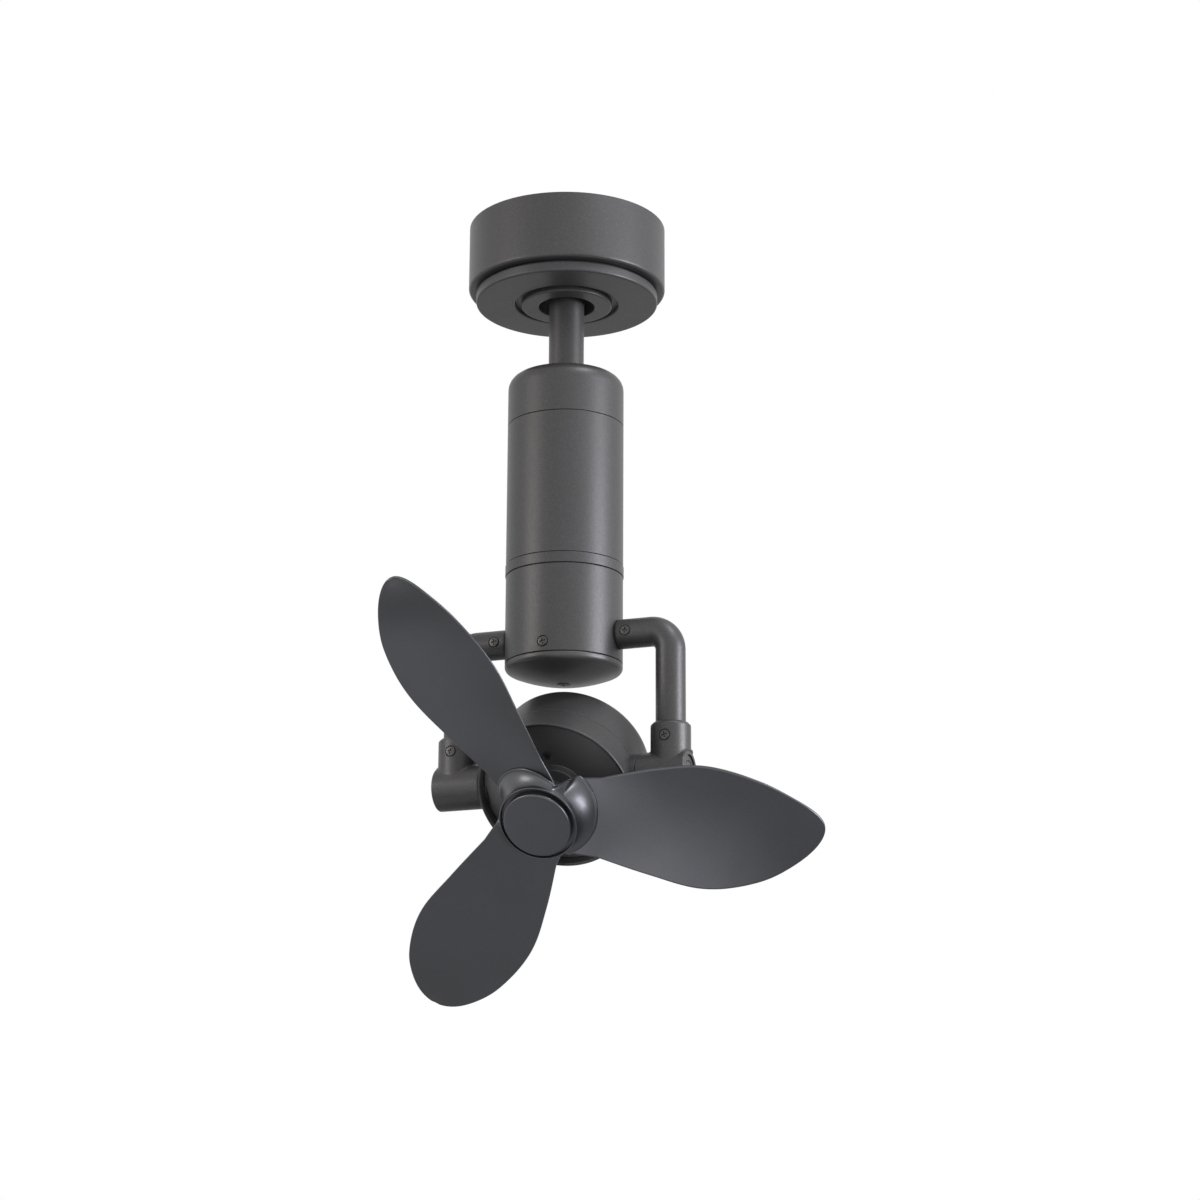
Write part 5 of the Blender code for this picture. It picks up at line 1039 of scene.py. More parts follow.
def socket_skin(side, name, top, barrel_radius):
    """Upright socket: a shouldered lip, a plain wall, and a flare onto the barrel.

    The barrel's top at a distance y from its axis is at the root of R squared less y squared. In
    the flare, angle t runs from 0 to a quarter turn: the radius grows by flare (1 - cos t) and
    the height above the barrel is flare (1 - sin t). One ring and a pole under it close the
    socket inside the barrel, out of sight.
    """
    _, screw_height = screw_spot("tee_screw_" + name)
    around = round_the_wall(ARM_TURN, SOCKET_RADIUS)
    lip = rounded([
        (arm_radius, top - CAP_DEPTH, 0),
        (arm_radius + FIT, top, TINY_EDGE),
        (SOCKET_LIP, top, SOCKET_LIP_EDGE),
        (SOCKET_RADIUS, top - SOCKET_SHOULDER, SHOULDER_EDGE),
        (SOCKET_RADIUS, top - SOCKET_PLAIN, 0),
    ])
    spot = fine_spot(screw_height, SIDE_REACH, FINE_STEP)
    heights = stations(screw_height - SIDE_REACH, screw_height + SIDE_REACH, 3, spot)
    upper = turned(with_rows(lip, SOCKET_RADIUS, heights)[:-CORNER_POINTS], around)

    def barrel_top(radius):
        """Height of the barrel's skin all round a ring of this radius."""
        return TILT_PLACE[2] + np.sqrt(barrel_radius ** 2 - (radius * np.sin(around)) ** 2)

    start = upper[-1, :, 2]
    share = np.linspace(0.0, 1.0, LINE_STEPS)[1:-1, None]
    wall_height = start + share * (barrel_top(SOCKET_RADIUS) + SOCKET_FLARE - start)
    turn = np.linspace(0.0, np.pi / 2, LINE_STEPS)[:, None]
    flare_radius = SOCKET_RADIUS + SOCKET_FLARE * (1 - np.cos(turn))
    flare_height = barrel_top(flare_radius) + SOCKET_FLARE * (1 - np.sin(turn))
    inner_height = barrel_top(SOCKET_RADIUS - UNDERCUT)[None] - UNDERCUT_DROP
    radius = np.concatenate([SOCKET_RADIUS + 0 * share, flare_radius, [[SOCKET_RADIUS - UNDERCUT]]])
    height = np.concatenate([wall_height, flare_height, inner_height])
    lower = carried_round(radius, height, around)
    floor_height = TILT_PLACE[2] + barrel_radius - FLOOR_SUNK
    grid = with_poles(np.concatenate([upper, lower]), (0, 0, top - 2 * CAP_DEPTH), (0, 0, floor_height))
    grid = with_pocket(grid, (0.0, -SOCKET_RADIUS, screw_height))
    return skin(grid + np.array([side * arm_x, 0, 0]))


print("steps round a socket:", len(round_the_wall(ARM_TURN, SOCKET_RADIUS)))

# %% Tees with their screws and pivot caps
BARREL_BORE = 10.3 * MM
BARREL_EDGE = 0.5 * MM
BARREL_END = 1.3 * MM
CAP_SEAT = 12.7 * MM
CAP_GROOVE = 0.8 * MM
GROOVE_HALF = 0.6 * MM
CAP_DISC = 7.7 * MM
CAP_PLUG = 5.3 * MM
TEE_SLANT = 0.3


def arm_tee(side, name):
    """The barrel is turned about the tilt axis; the socket stands on it."""
    low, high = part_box("arm_tee_" + name)
    inner, outer = sorted((abs(low.x), abs(high.x)))
    barrel_radius = TILT_PLACE[2] - low.z
    pivot = place_at(TILT_PLACE, (side, 0, 0), WORLD_UP)
    corners = [
        (BARREL_BORE, inner, TINY_EDGE),
        (barrel_radius, inner, BARREL_EDGE),
        (barrel_radius, outer, BARREL_END),
        (CAP_SEAT, outer, SMALL_EDGE),
        (CAP_SEAT, outer - CAP_DEPTH, TINY_EDGE),
        (BARREL_BORE, outer - CAP_DEPTH, TINY_EDGE),
    ]
    barrel = skin(put(turned(rounded(corners), angles(FINE_TURN)), pivot), wrap_rows=True)
    socket = socket_skin(side, name, high.z, barrel_radius)
    piece("arm_tee_" + name, [barrel, socket], PAINT, "yoke")
    front_screw("tee_screw_" + name, TEE_SLANT * side)
    pivot_cap(name, pivot)


def pivot_cap(name, pivot):
    """A plug whose face has a ring groove, set just inside the barrel's end."""
    radius, low, face = measure("pivot_cap_" + name, pivot)
    back = face - CAP_DEPTH + FIT
    corners = [
        (0, face, 0),
        (CAP_DISC, face, TINY_EDGE),
        (CAP_DISC + GROOVE_HALF, face - CAP_GROOVE, TINY_EDGE),
        (CAP_DISC + 2 * GROOVE_HALF, face, TINY_EDGE),
        (radius, face, SMALL_EDGE),
        (radius, back, TINY_EDGE),
        (CAP_PLUG, back, TINY_EDGE),
        (CAP_PLUG, low, SMALL_EDGE),
        (0, low, 0),
    ]
    solid_piece("pivot_cap_" + name, corners, pivot, PAINT, "yoke", SMALL_TURN)


for side, name in SIDES:
    arm_tee(side, name)

# %% [markdown]
# ## The head
#
# The drum of the head holds the motor. It is two shells that meet in a hairline seam, with a plate
# set back in its front. Its pivots are short hollow tubes, each with a boss that is shaped to the
# drum. Heights here run along the fan's own axis from the tilt axis, because that is how the real
# pieces are drawn and turned; the place called HEAD turns them into world places.

# %% Drum and front plate
DRUM_WALL = 2.5 * MM
DRUM_CORNER = 6.0 * MM
DRUM_LIP = 1.1 * MM
LEDGE_WIDTH = 5.6 * MM
LEDGE = 2.5 * MM
PLATE_BOSS = 20.5 * MM
PLATE_SLOPE = 1.5 * MM
PLATE_BOSS_EDGE = 0.7 * MM
PLATE_FOOT_EDGE = 0.8 * MM
PLATE_RISE = 5.2 * MM
PLATE_BORE = 4.15 * MM
PLATE_HEAD = 1.8 * MM
PLATE_SLANT = 0.2


def drum():
    """Rear cup, front ring with the ledge that carries the plate, and the plate with its boss."""
    radius, back, seam = measure("motor_rear_shell", HEAD)
    inside = radius - DRUM_WALL
    cup = [
        (0, back, 0),
        (radius, back, DRUM_CORNER),
        (radius, seam, SMALL_EDGE),
        (inside, seam, TINY_EDGE),
        (inside, back + DRUM_WALL, DRUM_CORNER - DRUM_WALL),
        (0, back + DRUM_WALL, 0),
    ]
    solid_piece("motor_rear_shell", cup, HEAD, PAINT, "head")
    plate_radius, plate_back, boss = measure("motor_front_plate", HEAD)
    ring_radius, ring_low, front = measure("motor_front_ring", HEAD)
    ledge = plate_back - FIT
    ring = [
        (ring_radius, ring_low, SMALL_EDGE),
        (ring_radius, front, DRUM_LIP),
        (inside, front, DRUM_LIP),
        (inside, ledge, TINY_EDGE),
        (inside - LEDGE_WIDTH, ledge, TINY_EDGE),
        (inside - LEDGE_WIDTH, ledge - LEDGE, TINY_EDGE),
        (inside, ledge - LEDGE, TINY_EDGE),
        (inside, ring_low, TINY_EDGE),
    ]
    tube_piece("motor_front_ring", ring, HEAD, PAINT, "head")
    face = boss - PLATE_RISE
    plate = [
        (PLATE_BORE, boss, TINY_EDGE),
        (PLATE_BOSS - PLATE_SLOPE, boss, PLATE_BOSS_EDGE),
        (PLATE_BOSS, face, PLATE_FOOT_EDGE),
        (plate_radius, face, TINY_EDGE),
        (plate_radius, plate_back, TINY_EDGE),
        (PLATE_BORE, plate_back, TINY_EDGE),
    ]
    # The plate's paint carries painted light: mixed towards pale grey to lift its shade.
    tube_piece("motor_front_plate", plate, HEAD, PLATE_PAINT_WITH_PAINTED_LIGHT, "head")
    for number in (1, 2, 3):
        screw(f"plate_screw_{number}", HEAD[1][2], (1, 0, PLATE_SLANT), PLATE_HEAD, PAINT, "head")


drum()

# %% Pivots and axle
TRUNNION_BORE = 5.6 * MM
TRUNNION_TUBE = 10.0 * MM
TRUNNION_EDGE = 0.5 * MM
BOSS_DEPTH = 4.4 * MM


def trunnion(side, name):
    """A hollow pivot: the tube that turns in the tee, and the boss against the drum."""
    pivot = place_at(TILT_PLACE, (side, 0, 0), WORLD_UP)
    boss_radius, _, end = measure("trunnion_" + name, pivot)
    low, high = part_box("arm_tee_" + name)
    boss_out = min(abs(low.x), abs(high.x)) - FIT
    boss_in = measure("motor_rear_shell", HEAD)[0] - BOSS_DEPTH
    corners = [
        (TRUNNION_BORE, end, TINY_EDGE),
        (TRUNNION_TUBE, end, SMALL_EDGE),
        (TRUNNION_TUBE, boss_out, TINY_EDGE),
        (boss_radius, boss_out, TRUNNION_EDGE),
        (boss_radius, boss_in, TINY_EDGE),
        (TRUNNION_BORE, boss_in, TINY_EDGE),
    ]
    tube_piece("trunnion_" + name, corners, pivot, PAINT, "head")


def motor_axle():
    """A plain rod with broken edges."""
    radius, low, high = measure("motor_axle", HEAD)
    corners = [(0, high, 0), (radius, high, SMALL_EDGE), (radius, low, SMALL_EDGE), (0, low, 0)]
    solid_piece("motor_axle", corners, HEAD, AXLE, "propeller", SMALL_TURN)


for side, name in SIDES:
    trunnion(side, name)
motor_axle()

# %% [markdown]
# ## Blades
#
# A blade is moulded: leaf-shaped, pitched less towards its tip, slightly hollow on its front, and
# rounded all the way round its thin edge. It could be sculpted, but an even sweep is the whole
# character of a fan blade, so it is written as a height over the plane of rotation. The outline's
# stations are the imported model's, and a smooth curve goes through them.

# %% Shape of a blade
BLADE_COUNT = 3
BLADE_ANGLE = np.radians(-9.0)
ROOT_HEIGHT = 46.7 * MM
CREST_RISE = 5.1 * MM
CREST_AT = 0.6
CREST_POWER = 1.15
TIP_DROP = 6.6 * MM
BLADE_ROOT = 31.0 * MM
BLADE_SHOULDER = 48.4 * MM
BLADE_THICK = 3.2 * MM
BLADE_EDGE = 2.2 * MM
BLADE_CAMBER = 2.6 * MM
CAMBER_FADE = 0.25
LEAST_HALF_CHORD = 1.0 * MM
PITCH_ROOT = 18.4
PITCH_TIP = 6.9
TIP_ROUNDNESS = 6
TIP_CHORD = 0.86
CHORD_AT = (0.0, 0.25, 0.5, 0.75, 0.9, 1.0)
LEADING = np.array([29.6, 37.4, 43.8, 39.2, 32.1, 32.1 * TIP_CHORD]) * MM
TRAILING = np.array([27.9, 37.4, 43.8, 39.2, 32.1, 32.1 * TIP_CHORD]) * MM
blade_tip = measure("blade_1", HEAD)[0]


def through(places, values, at):
    """A smooth curve through the stations: cubic pieces whose slopes join the neighbours.

    With t the share of a piece, the value is v0 (2t3 - 3t2 + 1) + s0 (t3 - 2t2 + t)
    + v1 (3t2 - 2t3) + s1 (t3 - t2), where a 3 or 2 after t is its power.
    """
    places, values = np.array(places, float), np.array(values, float)
    before = np.concatenate([places[:1], places[:-1]])
    after = np.concatenate([places[1:], places[-1:]])
    rise = np.concatenate([values[1:], values[-1:]]) - np.concatenate([values[:1], values[:-1]])
    slopes = rise / (after - before)
    at = np.clip(at, places[0], places[-1])
    step = np.clip(np.searchsorted(places, at, side="right") - 1, 0, len(places) - 2)
    span = places[step + 1] - places[step]
    part = (at - places[step]) / span
    cube, square = part ** 3, part ** 2
    return (values[step] * (2 * cube - 3 * square + 1) + slopes[step] * span * (cube - 2 * square + part)
            + values[step + 1] * (3 * square - 2 * cube) + slopes[step + 1] * span * (cube - square))


def outward_share(radius):
    """0 at the blade's shoulder and 1 at its tip."""
    return (radius - BLADE_SHOULDER) / (blade_tip - BLADE_SHOULDER)


def edge_reach(radius):
    """Reach of both edges from the centre line; the tip closes as the root of 1 - share to the 6th."""
    share = np.clip(outward_share(radius), 0.0, 1.0)
    close = np.sqrt(1 - share ** TIP_ROUNDNESS)
    return through(CHORD_AT, LEADING, share) * close, through(CHORD_AT, TRAILING, share) * close


def blade_surface(radius, across):
    """Height of the blade's middle surface, at a radius and a distance across the centre line.

    The centre line rises from the root to a crest and falls to the tip. The surface tilts about
    it by the pitch, and is hollow by the camber times 1 - (distance from mid chord) squared. The
    hollow fades in from the root, and fades out as the tip closes.
    """
    share = np.clip(outward_share(radius), 0.0, 1.0)
    crest = ROOT_HEIGHT + CREST_RISE
    rise = crest - CREST_RISE * (np.maximum(CREST_AT - share, 0) / CREST_AT) ** CREST_POWER
    fall = (CREST_RISE + TIP_DROP) * (np.maximum(share - CREST_AT, 0) / (1 - CREST_AT)) ** 3
    pitch = np.radians(PITCH_ROOT + (PITCH_TIP - PITCH_ROOT) * share ** 2)
    leading, trailing = edge_reach(radius)
    middle = (trailing - leading) / 2
    half = np.maximum((trailing + leading) / 2, LEAST_HALF_CHORD)
    fullness = np.minimum(1.0, share / CAMBER_FADE) * np.sqrt(1 - share ** TIP_ROUNDNESS)
    from_middle = np.minimum(1.0, np.abs(across - middle) / half)
    return rise - fall - across * np.tan(pitch) - BLADE_CAMBER * fullness * (1 - from_middle ** 2)


sample = edge_reach(np.array([BLADE_SHOULDER, (BLADE_SHOULDER + blade_tip) / 2, blade_tip]))
print("blade reaches", np.round(sample[0] / MM, 1), "and", np.round(sample[1] / MM, 1), "mm from its line")

# %% Front and back of a leaf
LEAF_COLUMNS = 73
BULGE_FADE = 3.0


def leaf_skins(radius, leading, trailing, thick, edge, turn):
    """Front and back of a leaf. Its half thickness is a bulge plus a round rim.

    The bulge is (thick - edge) / 2 times 1 - (share of the chord) squared, and fades at both
    ends. The rim is a quarter circle of half the edge's thickness, by the distance to the nearest
    edge, so that front and back meet in one line all round. Distances across are measured along
    the arc of their radius.
    """
    share = -np.cos(np.linspace(0.0, np.pi, LEAF_COLUMNS))[None, :]
    radius = radius[:, None]
    half_chord = (leading + trailing)[:, None] / 2
    across = (trailing - leading)[:, None] / 2 + share * half_chord
    lengthwise = np.minimum(radius - radius[0], radius[-1] - radius)
    distance = np.minimum(half_chord * (1 - np.abs(share)), lengthwise)
    rim = edge / 2 * np.sqrt(1 - (1 - np.minimum(distance / (edge / 2), 1.0)) ** 2)
    bulge = (thick[:, None] - edge) / 2 * (1 - share ** 2) * smooth_step(lengthwise / (BULGE_FADE * edge))
    middle = blade_surface(radius, across)
    angle = across / radius + turn
    faces = [carried_round(radius, middle + sign * (rim + bulge), angle) for sign in (1, -1)]
    return [skin(put(face, HEAD), wrap_columns=False) for face in faces]


print("points across a leaf:", LEAF_COLUMNS)

# %% [markdown]
# ## Three blades on the hub
#
# Behind the hub each blade has a tongue and a foot that a screw goes through. They are seen only
# from the back, but they are what holds a real blade on. The foot is a block with rounded edges,
# made as the corners of a sphere pulled apart.

# %% Blades with tongues, feet and screws
BLADE_SLIMMING = 0.25
TIP_ROWS = 72
ROOT_ROWS = 14
TONGUE_ROWS = 12
TONGUE_HALF = 7.0 * MM
TONGUE_THICK = 2.4 * MM
TONGUE_EDGE = 1.0 * MM
TONGUE_FROM = 23.0 * MM
TONGUE_TO = 33.0 * MM
FOOT_FROM = 20.6 * MM
FOOT_TO = 26.0 * MM
FOOT_HALF = 8.0 * MM
FOOT_LOW = 42.0 * MM
FOOT_HIGH = 51.7 * MM
FOOT_EDGE = 0.8 * MM
CORNER_STEPS = 5
LONG_HEAD = 2.2 * MM


def brick(low, high, edge):
    """A box with round edges: corner of the inner box + edge times the direction to the surface.

    The directions are a sphere's. Each quadrant of it has its own corner, and the strips between
    the quadrants become the flat sides.
    """
    low, high = np.array(low) + edge, np.array(high) - edge
    quarter = np.linspace(0, np.pi / 2, CORNER_STEPS)
    around = np.concatenate([quarter + step * np.pi / 2 for step in range(4)])
    up = np.concatenate([quarter - np.pi / 2, quarter])[:, None]
    right = np.repeat([1, 0, 0, 1], CORNER_STEPS)
    beyond = np.repeat([1, 1, 0, 0], CORNER_STEPS)
    top = np.repeat([0, 1], CORNER_STEPS)[:, None]
    x = low[0] + right * (high[0] - low[0]) + edge * np.cos(up) * np.cos(around)
    y = low[1] + beyond * (high[1] - low[1]) + edge * np.cos(up) * np.sin(around)
    z = low[2] + top * (high[2] - low[2]) + edge * np.sin(up) + 0 * around
    grid = np.stack([x, y, z], axis=-1)
    middle_x, middle_y = (low[:2] + high[:2]) / 2
    return with_poles(grid, (middle_x, middle_y, low[2] - edge), (middle_x, middle_y, high[2] + edge))


def spun(grid, turn):
    """The grid turned about the fan's axis."""
    x, y, z = np.moveaxis(grid, -1, 0)
    return np.stack([x * np.cos(turn) - y * np.sin(turn), x * np.sin(turn) + y * np.cos(turn), z], axis=-1)


def blade(number, turn):
    """Leaf, tongue and foot; the leaf's rows gather towards its tip as 1 - (1 - t) squared."""
    root = np.linspace(0.0, 1.0, ROOT_ROWS) ** 2 * (BLADE_SHOULDER - BLADE_ROOT) + BLADE_ROOT
    outer = 1 - (1 - np.linspace(0.0, 1.0, TIP_ROWS)[1:]) ** 2
    radius = np.concatenate([root, BLADE_SHOULDER + outer * (blade_tip - BLADE_SHOULDER)])
    share = np.clip(outward_share(radius), 0.0, 1.0)
    leading, trailing = edge_reach(radius)
    thick = BLADE_THICK * (1 - BLADE_SLIMMING * share)
    leaf = leaf_skins(radius, leading, trailing, thick, BLADE_EDGE, turn)
    narrow = np.linspace(TONGUE_FROM, TONGUE_TO, TONGUE_ROWS)
    half = np.full(TONGUE_ROWS, TONGUE_HALF)
    tongue = leaf_skins(narrow, half, half, np.full(TONGUE_ROWS, TONGUE_THICK), TONGUE_EDGE, turn)
    foot = brick((FOOT_FROM, -FOOT_HALF, FOOT_LOW), (FOOT_TO, FOOT_HALF, FOOT_HIGH), FOOT_EDGE)
    skins = leaf + tongue + [skin(put(spun(foot, turn), HEAD))]
    piece(f"blade_{number}", skins, MOULDED, "propeller")
    screw(f"blade_screw_{number}", -HEAD[1][2], (1, 0, 0), LONG_HEAD, SCREW, "propeller")


blade_turns = BLADE_ANGLE + 2 * np.pi / BLADE_COUNT * np.arange(BLADE_COUNT)
for number, turn in enumerate(blade_turns, start=1):
    blade(number, turn)

# %% [markdown]
# ## The lobed hub
#
# The hub is the piece that people look at. Round the flat cap runs a dark groove, then a rounded
# rim, and from the rim the side flares out into a lobe over each blade, like the bell of a trumpet.
# The lobe ends in a thin crisp lip that lies on the blade, and its upper end comes to a corner
# before the side falls back into a hollow between two lobes. All three lobes are one skin round
# the hub, so that the hollows between them are smooth.

# %% The ring of lobes
HUB_SIDE = 29.2 * MM
LOBE_FROM = 28.85 * MM
LOBE_RISE = 2.2 * MM
LOBE_POWER = 1.4
LOBE_LIP = 1.4 * MM
LOBE_ROUND = 1.15 * MM
LIP_GAP = 0.1 * MM
LOBE_FIT = BLADE_THICK / 2 + LIP_GAP
LOBE_LOW, LOBE_HIGH = -53.0, 51.0
LOBE_CORNER = (49.0, 7.0, 40)
LOBE_AT = (-53, -46, -38, -30, -20, -10, 0, 14, 26, 37, 45, 48, 50, 51.5, 55, 61, 67)
LOBE_RISING = (3.5, 4.6, 5.9, 7.2, 8.8, 10.1, 10.7, 11.1, 10.8)
LOBE_FALLING = (9.9, 8.9, 7.6, 4.6, 2.6, 1.7, 2.0, 3.5)
LOBE_REACH = np.array(LOBE_RISING + LOBE_FALLING) * MM
LOBE_ROWS = 30
LOBE_COLUMNS = 96


def lobe_seat(radius, degrees):
    """Height of the blade's front below a lobe; between two lobes it passes from one to the next."""
    here = np.clip(degrees, LOBE_LOW, LOBE_HIGH)
    on_blade = blade_surface(radius, np.radians(here) * radius)
    on_next = blade_surface(radius, np.radians(LOBE_LOW) * radius)
    passing = smooth_step((degrees - LOBE_HIGH) / (360 / BLADE_COUNT + LOBE_LOW - LOBE_HIGH))
    return LOBE_FIT + on_blade + (on_next - on_blade) * passing


def lobes_skin(rim_front):
    """One ring with three lobes. Its section leaves the rim upright and reaches the lip level.

    With angle t from 0 to a quarter turn and p = 2 / LOBE_POWER, the share of the reach is
    1 - cos t to the p, and the height above the lip is 1 - sin t to the p. The lip's front is a
    quarter circle, its foot has a small one, and the underside follows the blade back to the rim.
    """
    degrees = stations(LOBE_LOW, 360 / BLADE_COUNT + LOBE_LOW, LOBE_COLUMNS, LOBE_CORNER)[:-1]
    outer = HUB_SIDE + through(LOBE_AT, LOBE_REACH, degrees)
    lip = lobe_seat(outer, degrees) + LOBE_LIP
    turn = np.linspace(0.0, np.pi / 2, LOBE_ROWS)[:, None]
    power = 2 / LOBE_POWER
    top_radius = LOBE_FROM + (outer - LOBE_ROUND - LOBE_FROM) * (1 - np.cos(turn) ** power)
    top_height = lip + (rim_front - LOBE_RISE - lip) * (1 - np.sin(turn) ** power)
    corner = np.linspace(0.0, np.pi / 2, CORNER_STEPS)[1:, None]
    edge_radius = outer - LOBE_ROUND * (1 - np.sin(corner))
    edge_height = lip - LOBE_ROUND * (1 - np.cos(corner))
    under_radius = outer - TINY_EDGE * (1 - np.cos(corner))
    under_height = lip - LOBE_LIP + TINY_EDGE * (1 - np.sin(corner))
    back_radius = LOBE_FROM + (outer - TINY_EDGE - LOBE_FROM) * np.linspace(1.0, 0.0, LOBE_ROWS)[1:, None]
    back_height = lobe_seat(back_radius, degrees)
    radius = np.concatenate([top_radius, edge_radius, under_radius, back_radius])
    height = np.concatenate([top_height, edge_height, under_height, back_height])
    ring = [carried_round(radius, height, np.radians(degrees) + blade_turn) for blade_turn in blade_turns]
    return skin(put(np.concatenate(ring, axis=1), HEAD), wrap_rows=True)


print("a lobe reaches at most", round(LOBE_REACH.max() / MM, 1), "mm from the hub's side")

# %% Propeller hub and cap
HUB_RIM = 28.9 * MM
HUB_RIM_EDGE = 0.5 * MM
HUB_BACK = 52.0 * MM
HUB_CORE = 20.0 * MM
HUB_POCKET = 19.0 * MM
HUB_FLOOR = 54.5 * MM
HUB_DIP = 27.7 * MM
HUB_DIP_DEPTH = 3.3 * MM
AXLE_BORE = 4.3 * MM
CAP_EDGE = 1.5 * MM
CAP_CROWN = 0.3 * MM
CAP_WALL = 2.2 * MM
CAP_SKIRT = 4.0 * MM


def propeller_hub():
    """A turned cup and core, with the ring of lobes round its side."""
    _, core_back, front = measure("propeller_hub", HEAD)
    dip = front - HUB_DIP_DEPTH
    corners = [
        (HUB_RIM, front, HUB_RIM_EDGE),
        (HUB_SIDE, front - 2 * LOBE_RISE, SMALL_EDGE),
        (HUB_SIDE, HUB_BACK, SMALL_EDGE),
        (HUB_CORE, HUB_BACK, SMALL_EDGE),
        (HUB_CORE, core_back, SMALL_EDGE),
        (AXLE_BORE, core_back, TINY_EDGE),
        (AXLE_BORE, HUB_FLOOR, TINY_EDGE),
        (HUB_POCKET, HUB_FLOOR, TINY_EDGE),
        (HUB_POCKET, dip, TINY_EDGE),
        (HUB_DIP, dip, TINY_EDGE),
        (HUB_DIP, front, HUB_RIM_EDGE),
    ]
    cup = skin(put(turned(rounded(corners), angles(FINE_TURN)), HEAD), wrap_rows=True)
    piece("propeller_hub", [cup, lobes_skin(front)], MOULDED, "propeller")


def hub_cap():
    """A button with a slight crown and a rounded edge; its skirt clips into the hub's pocket."""
    radius, low, front = measure("hub_cap", HEAD)
    seat = low + CAP_SKIRT
    skirt = HUB_POCKET - FIT
    corners = [
        (0, front, 0),
        (radius, front - CAP_CROWN, CAP_EDGE),
        (radius, seat, TINY_EDGE),
        (skirt, seat, TINY_EDGE),
        (skirt, low, TINY_EDGE),
        (skirt - CAP_WALL, low, TINY_EDGE),
        (skirt - CAP_WALL, front - 2 * CAP_WALL, SMALL_EDGE),
        (0, front - 2 * CAP_WALL, 0),
    ]
    solid_piece("hub_cap", corners, HEAD, MOULDED, "propeller")


propeller_hub()
hub_cap()

# %% [markdown]
# ## What stays as it is packed
#
# The bracket, the drive and the motor are plain plates, rings and gears with true edges, and they
# are hidden in the assembled fan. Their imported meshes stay, each with the finish of its own
# material.

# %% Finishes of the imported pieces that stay
STAYING = (
    (ZINC, ("ceiling_bracket", "canopy_screw_left", "canopy_screw_right", "ball_cross_pin", "rod_coupling",
            "coupling_bolt", "bearing_bridge", "yoke_cross_tube", "motor_end_bell", "hub_nut")),
    (MACHINED, ("upper_bearing", "lower_bearing", "orbit_shaft", "stator_core", "front_bearing",
                "rear_bearing", "motor_rotor")),
    (BLACK, ("orbit_gearmotor", "slip_ring")),
    (BRASS, ("drive_pinion",)),
    (NYLON[0], ("orbit_gear",)),
    (COPPER, ("stator_winding",)),
)
for material, names in STAYING:
    for name in names:
        mesh = frame["nodes"][name].data
        mesh.materials.clear()
        mesh.materials.append(material)
    print(material.name + ":", len(names), "pieces")

# %% [markdown]
# ## Room and light
#
# The photograph was lit as a shop lights dark metal: the object hangs in white, with a strong soft
# light to the right and a weaker, warmer one to the left. So each upright cylinder has a bright
# band some way in from either side, and is darkest between them, where neither lamp is mirrored.
# A small high lamp draws the bright lines on edges that face up and to the right, and two low
# lamps fill the undersides. The lamps could be one bright sky, but that would leave the satin
# surfaces flat. The floor is that of a room, so it is far below the fan.

# %% Floor and surroundings
FLOOR_DROP = 2.4
FLOOR_HALF = 6.0
PLASTER_CLOUD = 0.5
SURROUND_LIGHT = 0.40
SEEN_RAYS = ("Is Camera Ray", "Is Glossy Ray", "Is Transmission Ray")


def floor():
    """A pale floor, slightly cloudy as plaster is."""
    finish = Finish("pale_floor")
    cloud = finish.noise(PLASTER_CLOUD)
    colour = finish.blend(cloud, (0.70, 0.70, 0.70, 1.0), (0.74, 0.74, 0.74, 1.0))
    material = finish.close(Base_Color=colour, Roughness=0.8 + 0.1 * cloud)
    steps = np.linspace(-FLOOR_HALF, FLOOR_HALF, 3)
    x, y = np.meshgrid(steps, steps)
    points, quads = skin(np.stack([x, y, -FLOOR_DROP + 0 * x], axis=-1), wrap_columns=False)
    mesh = bpy.data.meshes.new("floor")
    mesh.from_pydata(points, [], quads)
    mesh.materials.append(material)
    made = bpy.data.objects.new("floor", mesh)
    bpy.context.scene.collection.objects.link(made)
    return made


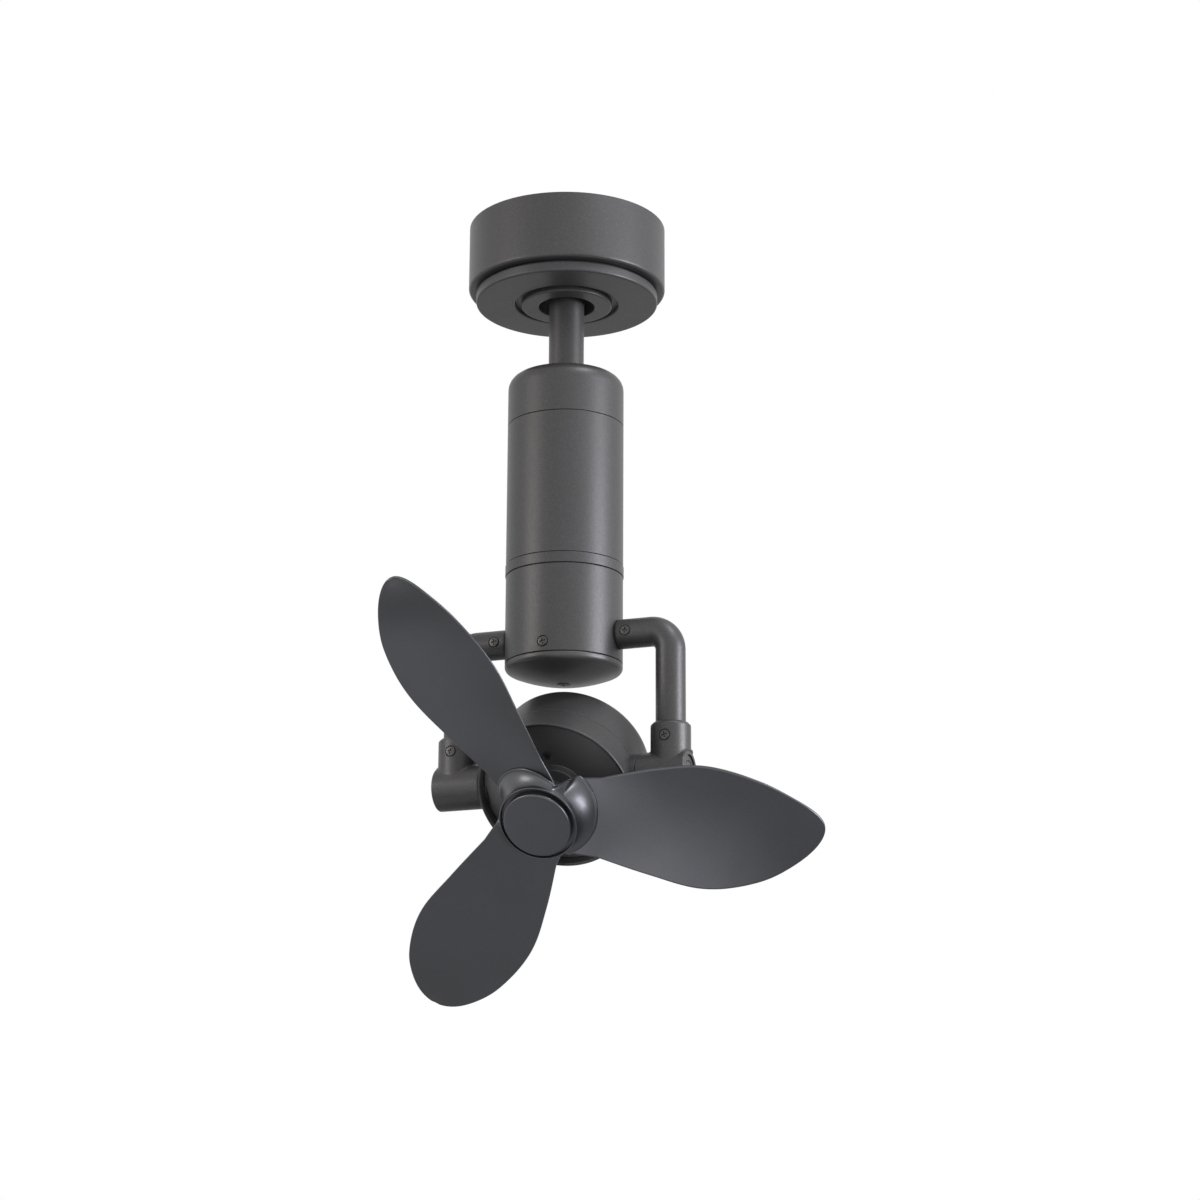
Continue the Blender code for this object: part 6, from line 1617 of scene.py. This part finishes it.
def surroundings():
    """White where the camera or a reflection looks, and dimmer where it only gives light."""
    world = bpy.data.worlds.new("surroundings")
    bpy.context.scene.world = world
    graph = Graph(world)
    seen = graph.add("ShaderNodeLightPath", output=SEEN_RAYS[0])
    for name in SEEN_RAYS[1:]:
        seen = seen.math("MAXIMUM", seen, graph.add("ShaderNodeLightPath", output=name))
    strength = 1.0 - (1.0 - SURROUND_LIGHT) * (1.0 - seen)
    white = graph.add("ShaderNodeBackground", {}, {"Color": (1.0, 1.0, 1.0, 1.0), "Strength": strength})
    graph.add("ShaderNodeOutputWorld", {}, {"Surface": white})


floor()
surroundings()
print("light of the surroundings where nothing looks at them:", SURROUND_LIGHT)

# %% Lamps
FAN_MIDDLE = np.array([0.0, 0.0, -0.3])


def lamp(name, place, size, watts, colour):
    """A soft rectangle of light that faces the middle of the fan."""
    data = bpy.data.lights.new(name, "AREA")
    data.shape = "RECTANGLE"
    data.size, data.size_y = size
    data.energy = watts
    data.color = colour
    made = bpy.data.objects.new(name, data)
    origin, axes = place_at(place, np.array(place) - FAN_MIDDLE, WORLD_UP)
    pose = np.eye(4)
    pose[:3, :4] = np.stack([-axes[1], axes[0], axes[2], origin], axis=1)
    made.matrix_world = Matrix(pose.tolist())
    bpy.context.scene.collection.objects.link(made)
    return made


lamps = [
    lamp("right_light", (1.9, 0.0, -0.16), (0.8, 0.8), 36.0, (0.93, 0.94, 1.0)),
    lamp("left_light", (-1.2, -1.25, 0.05), (0.6, 0.35), 7.0, (1.0, 0.95, 0.90)),
    lamp("edge_light", (1.1, -0.5, 1.3), (0.45, 0.45), 14.0, (1.0, 1.0, 1.0)),
    lamp("low_light", (-0.25, -2.2, -1.3), (1.6, 0.9), 6.5, (0.96, 0.96, 1.0)),
    lamp("low_left_light", (-0.95, -0.35, -1.5), (0.9, 0.6), 0.8, (0.92, 0.93, 1.0)),
]
bpy.context.scene.view_settings.view_transform = "Standard"
print("lamps:", ", ".join(f"{made.name} {made.data.energy} W" for made in lamps))
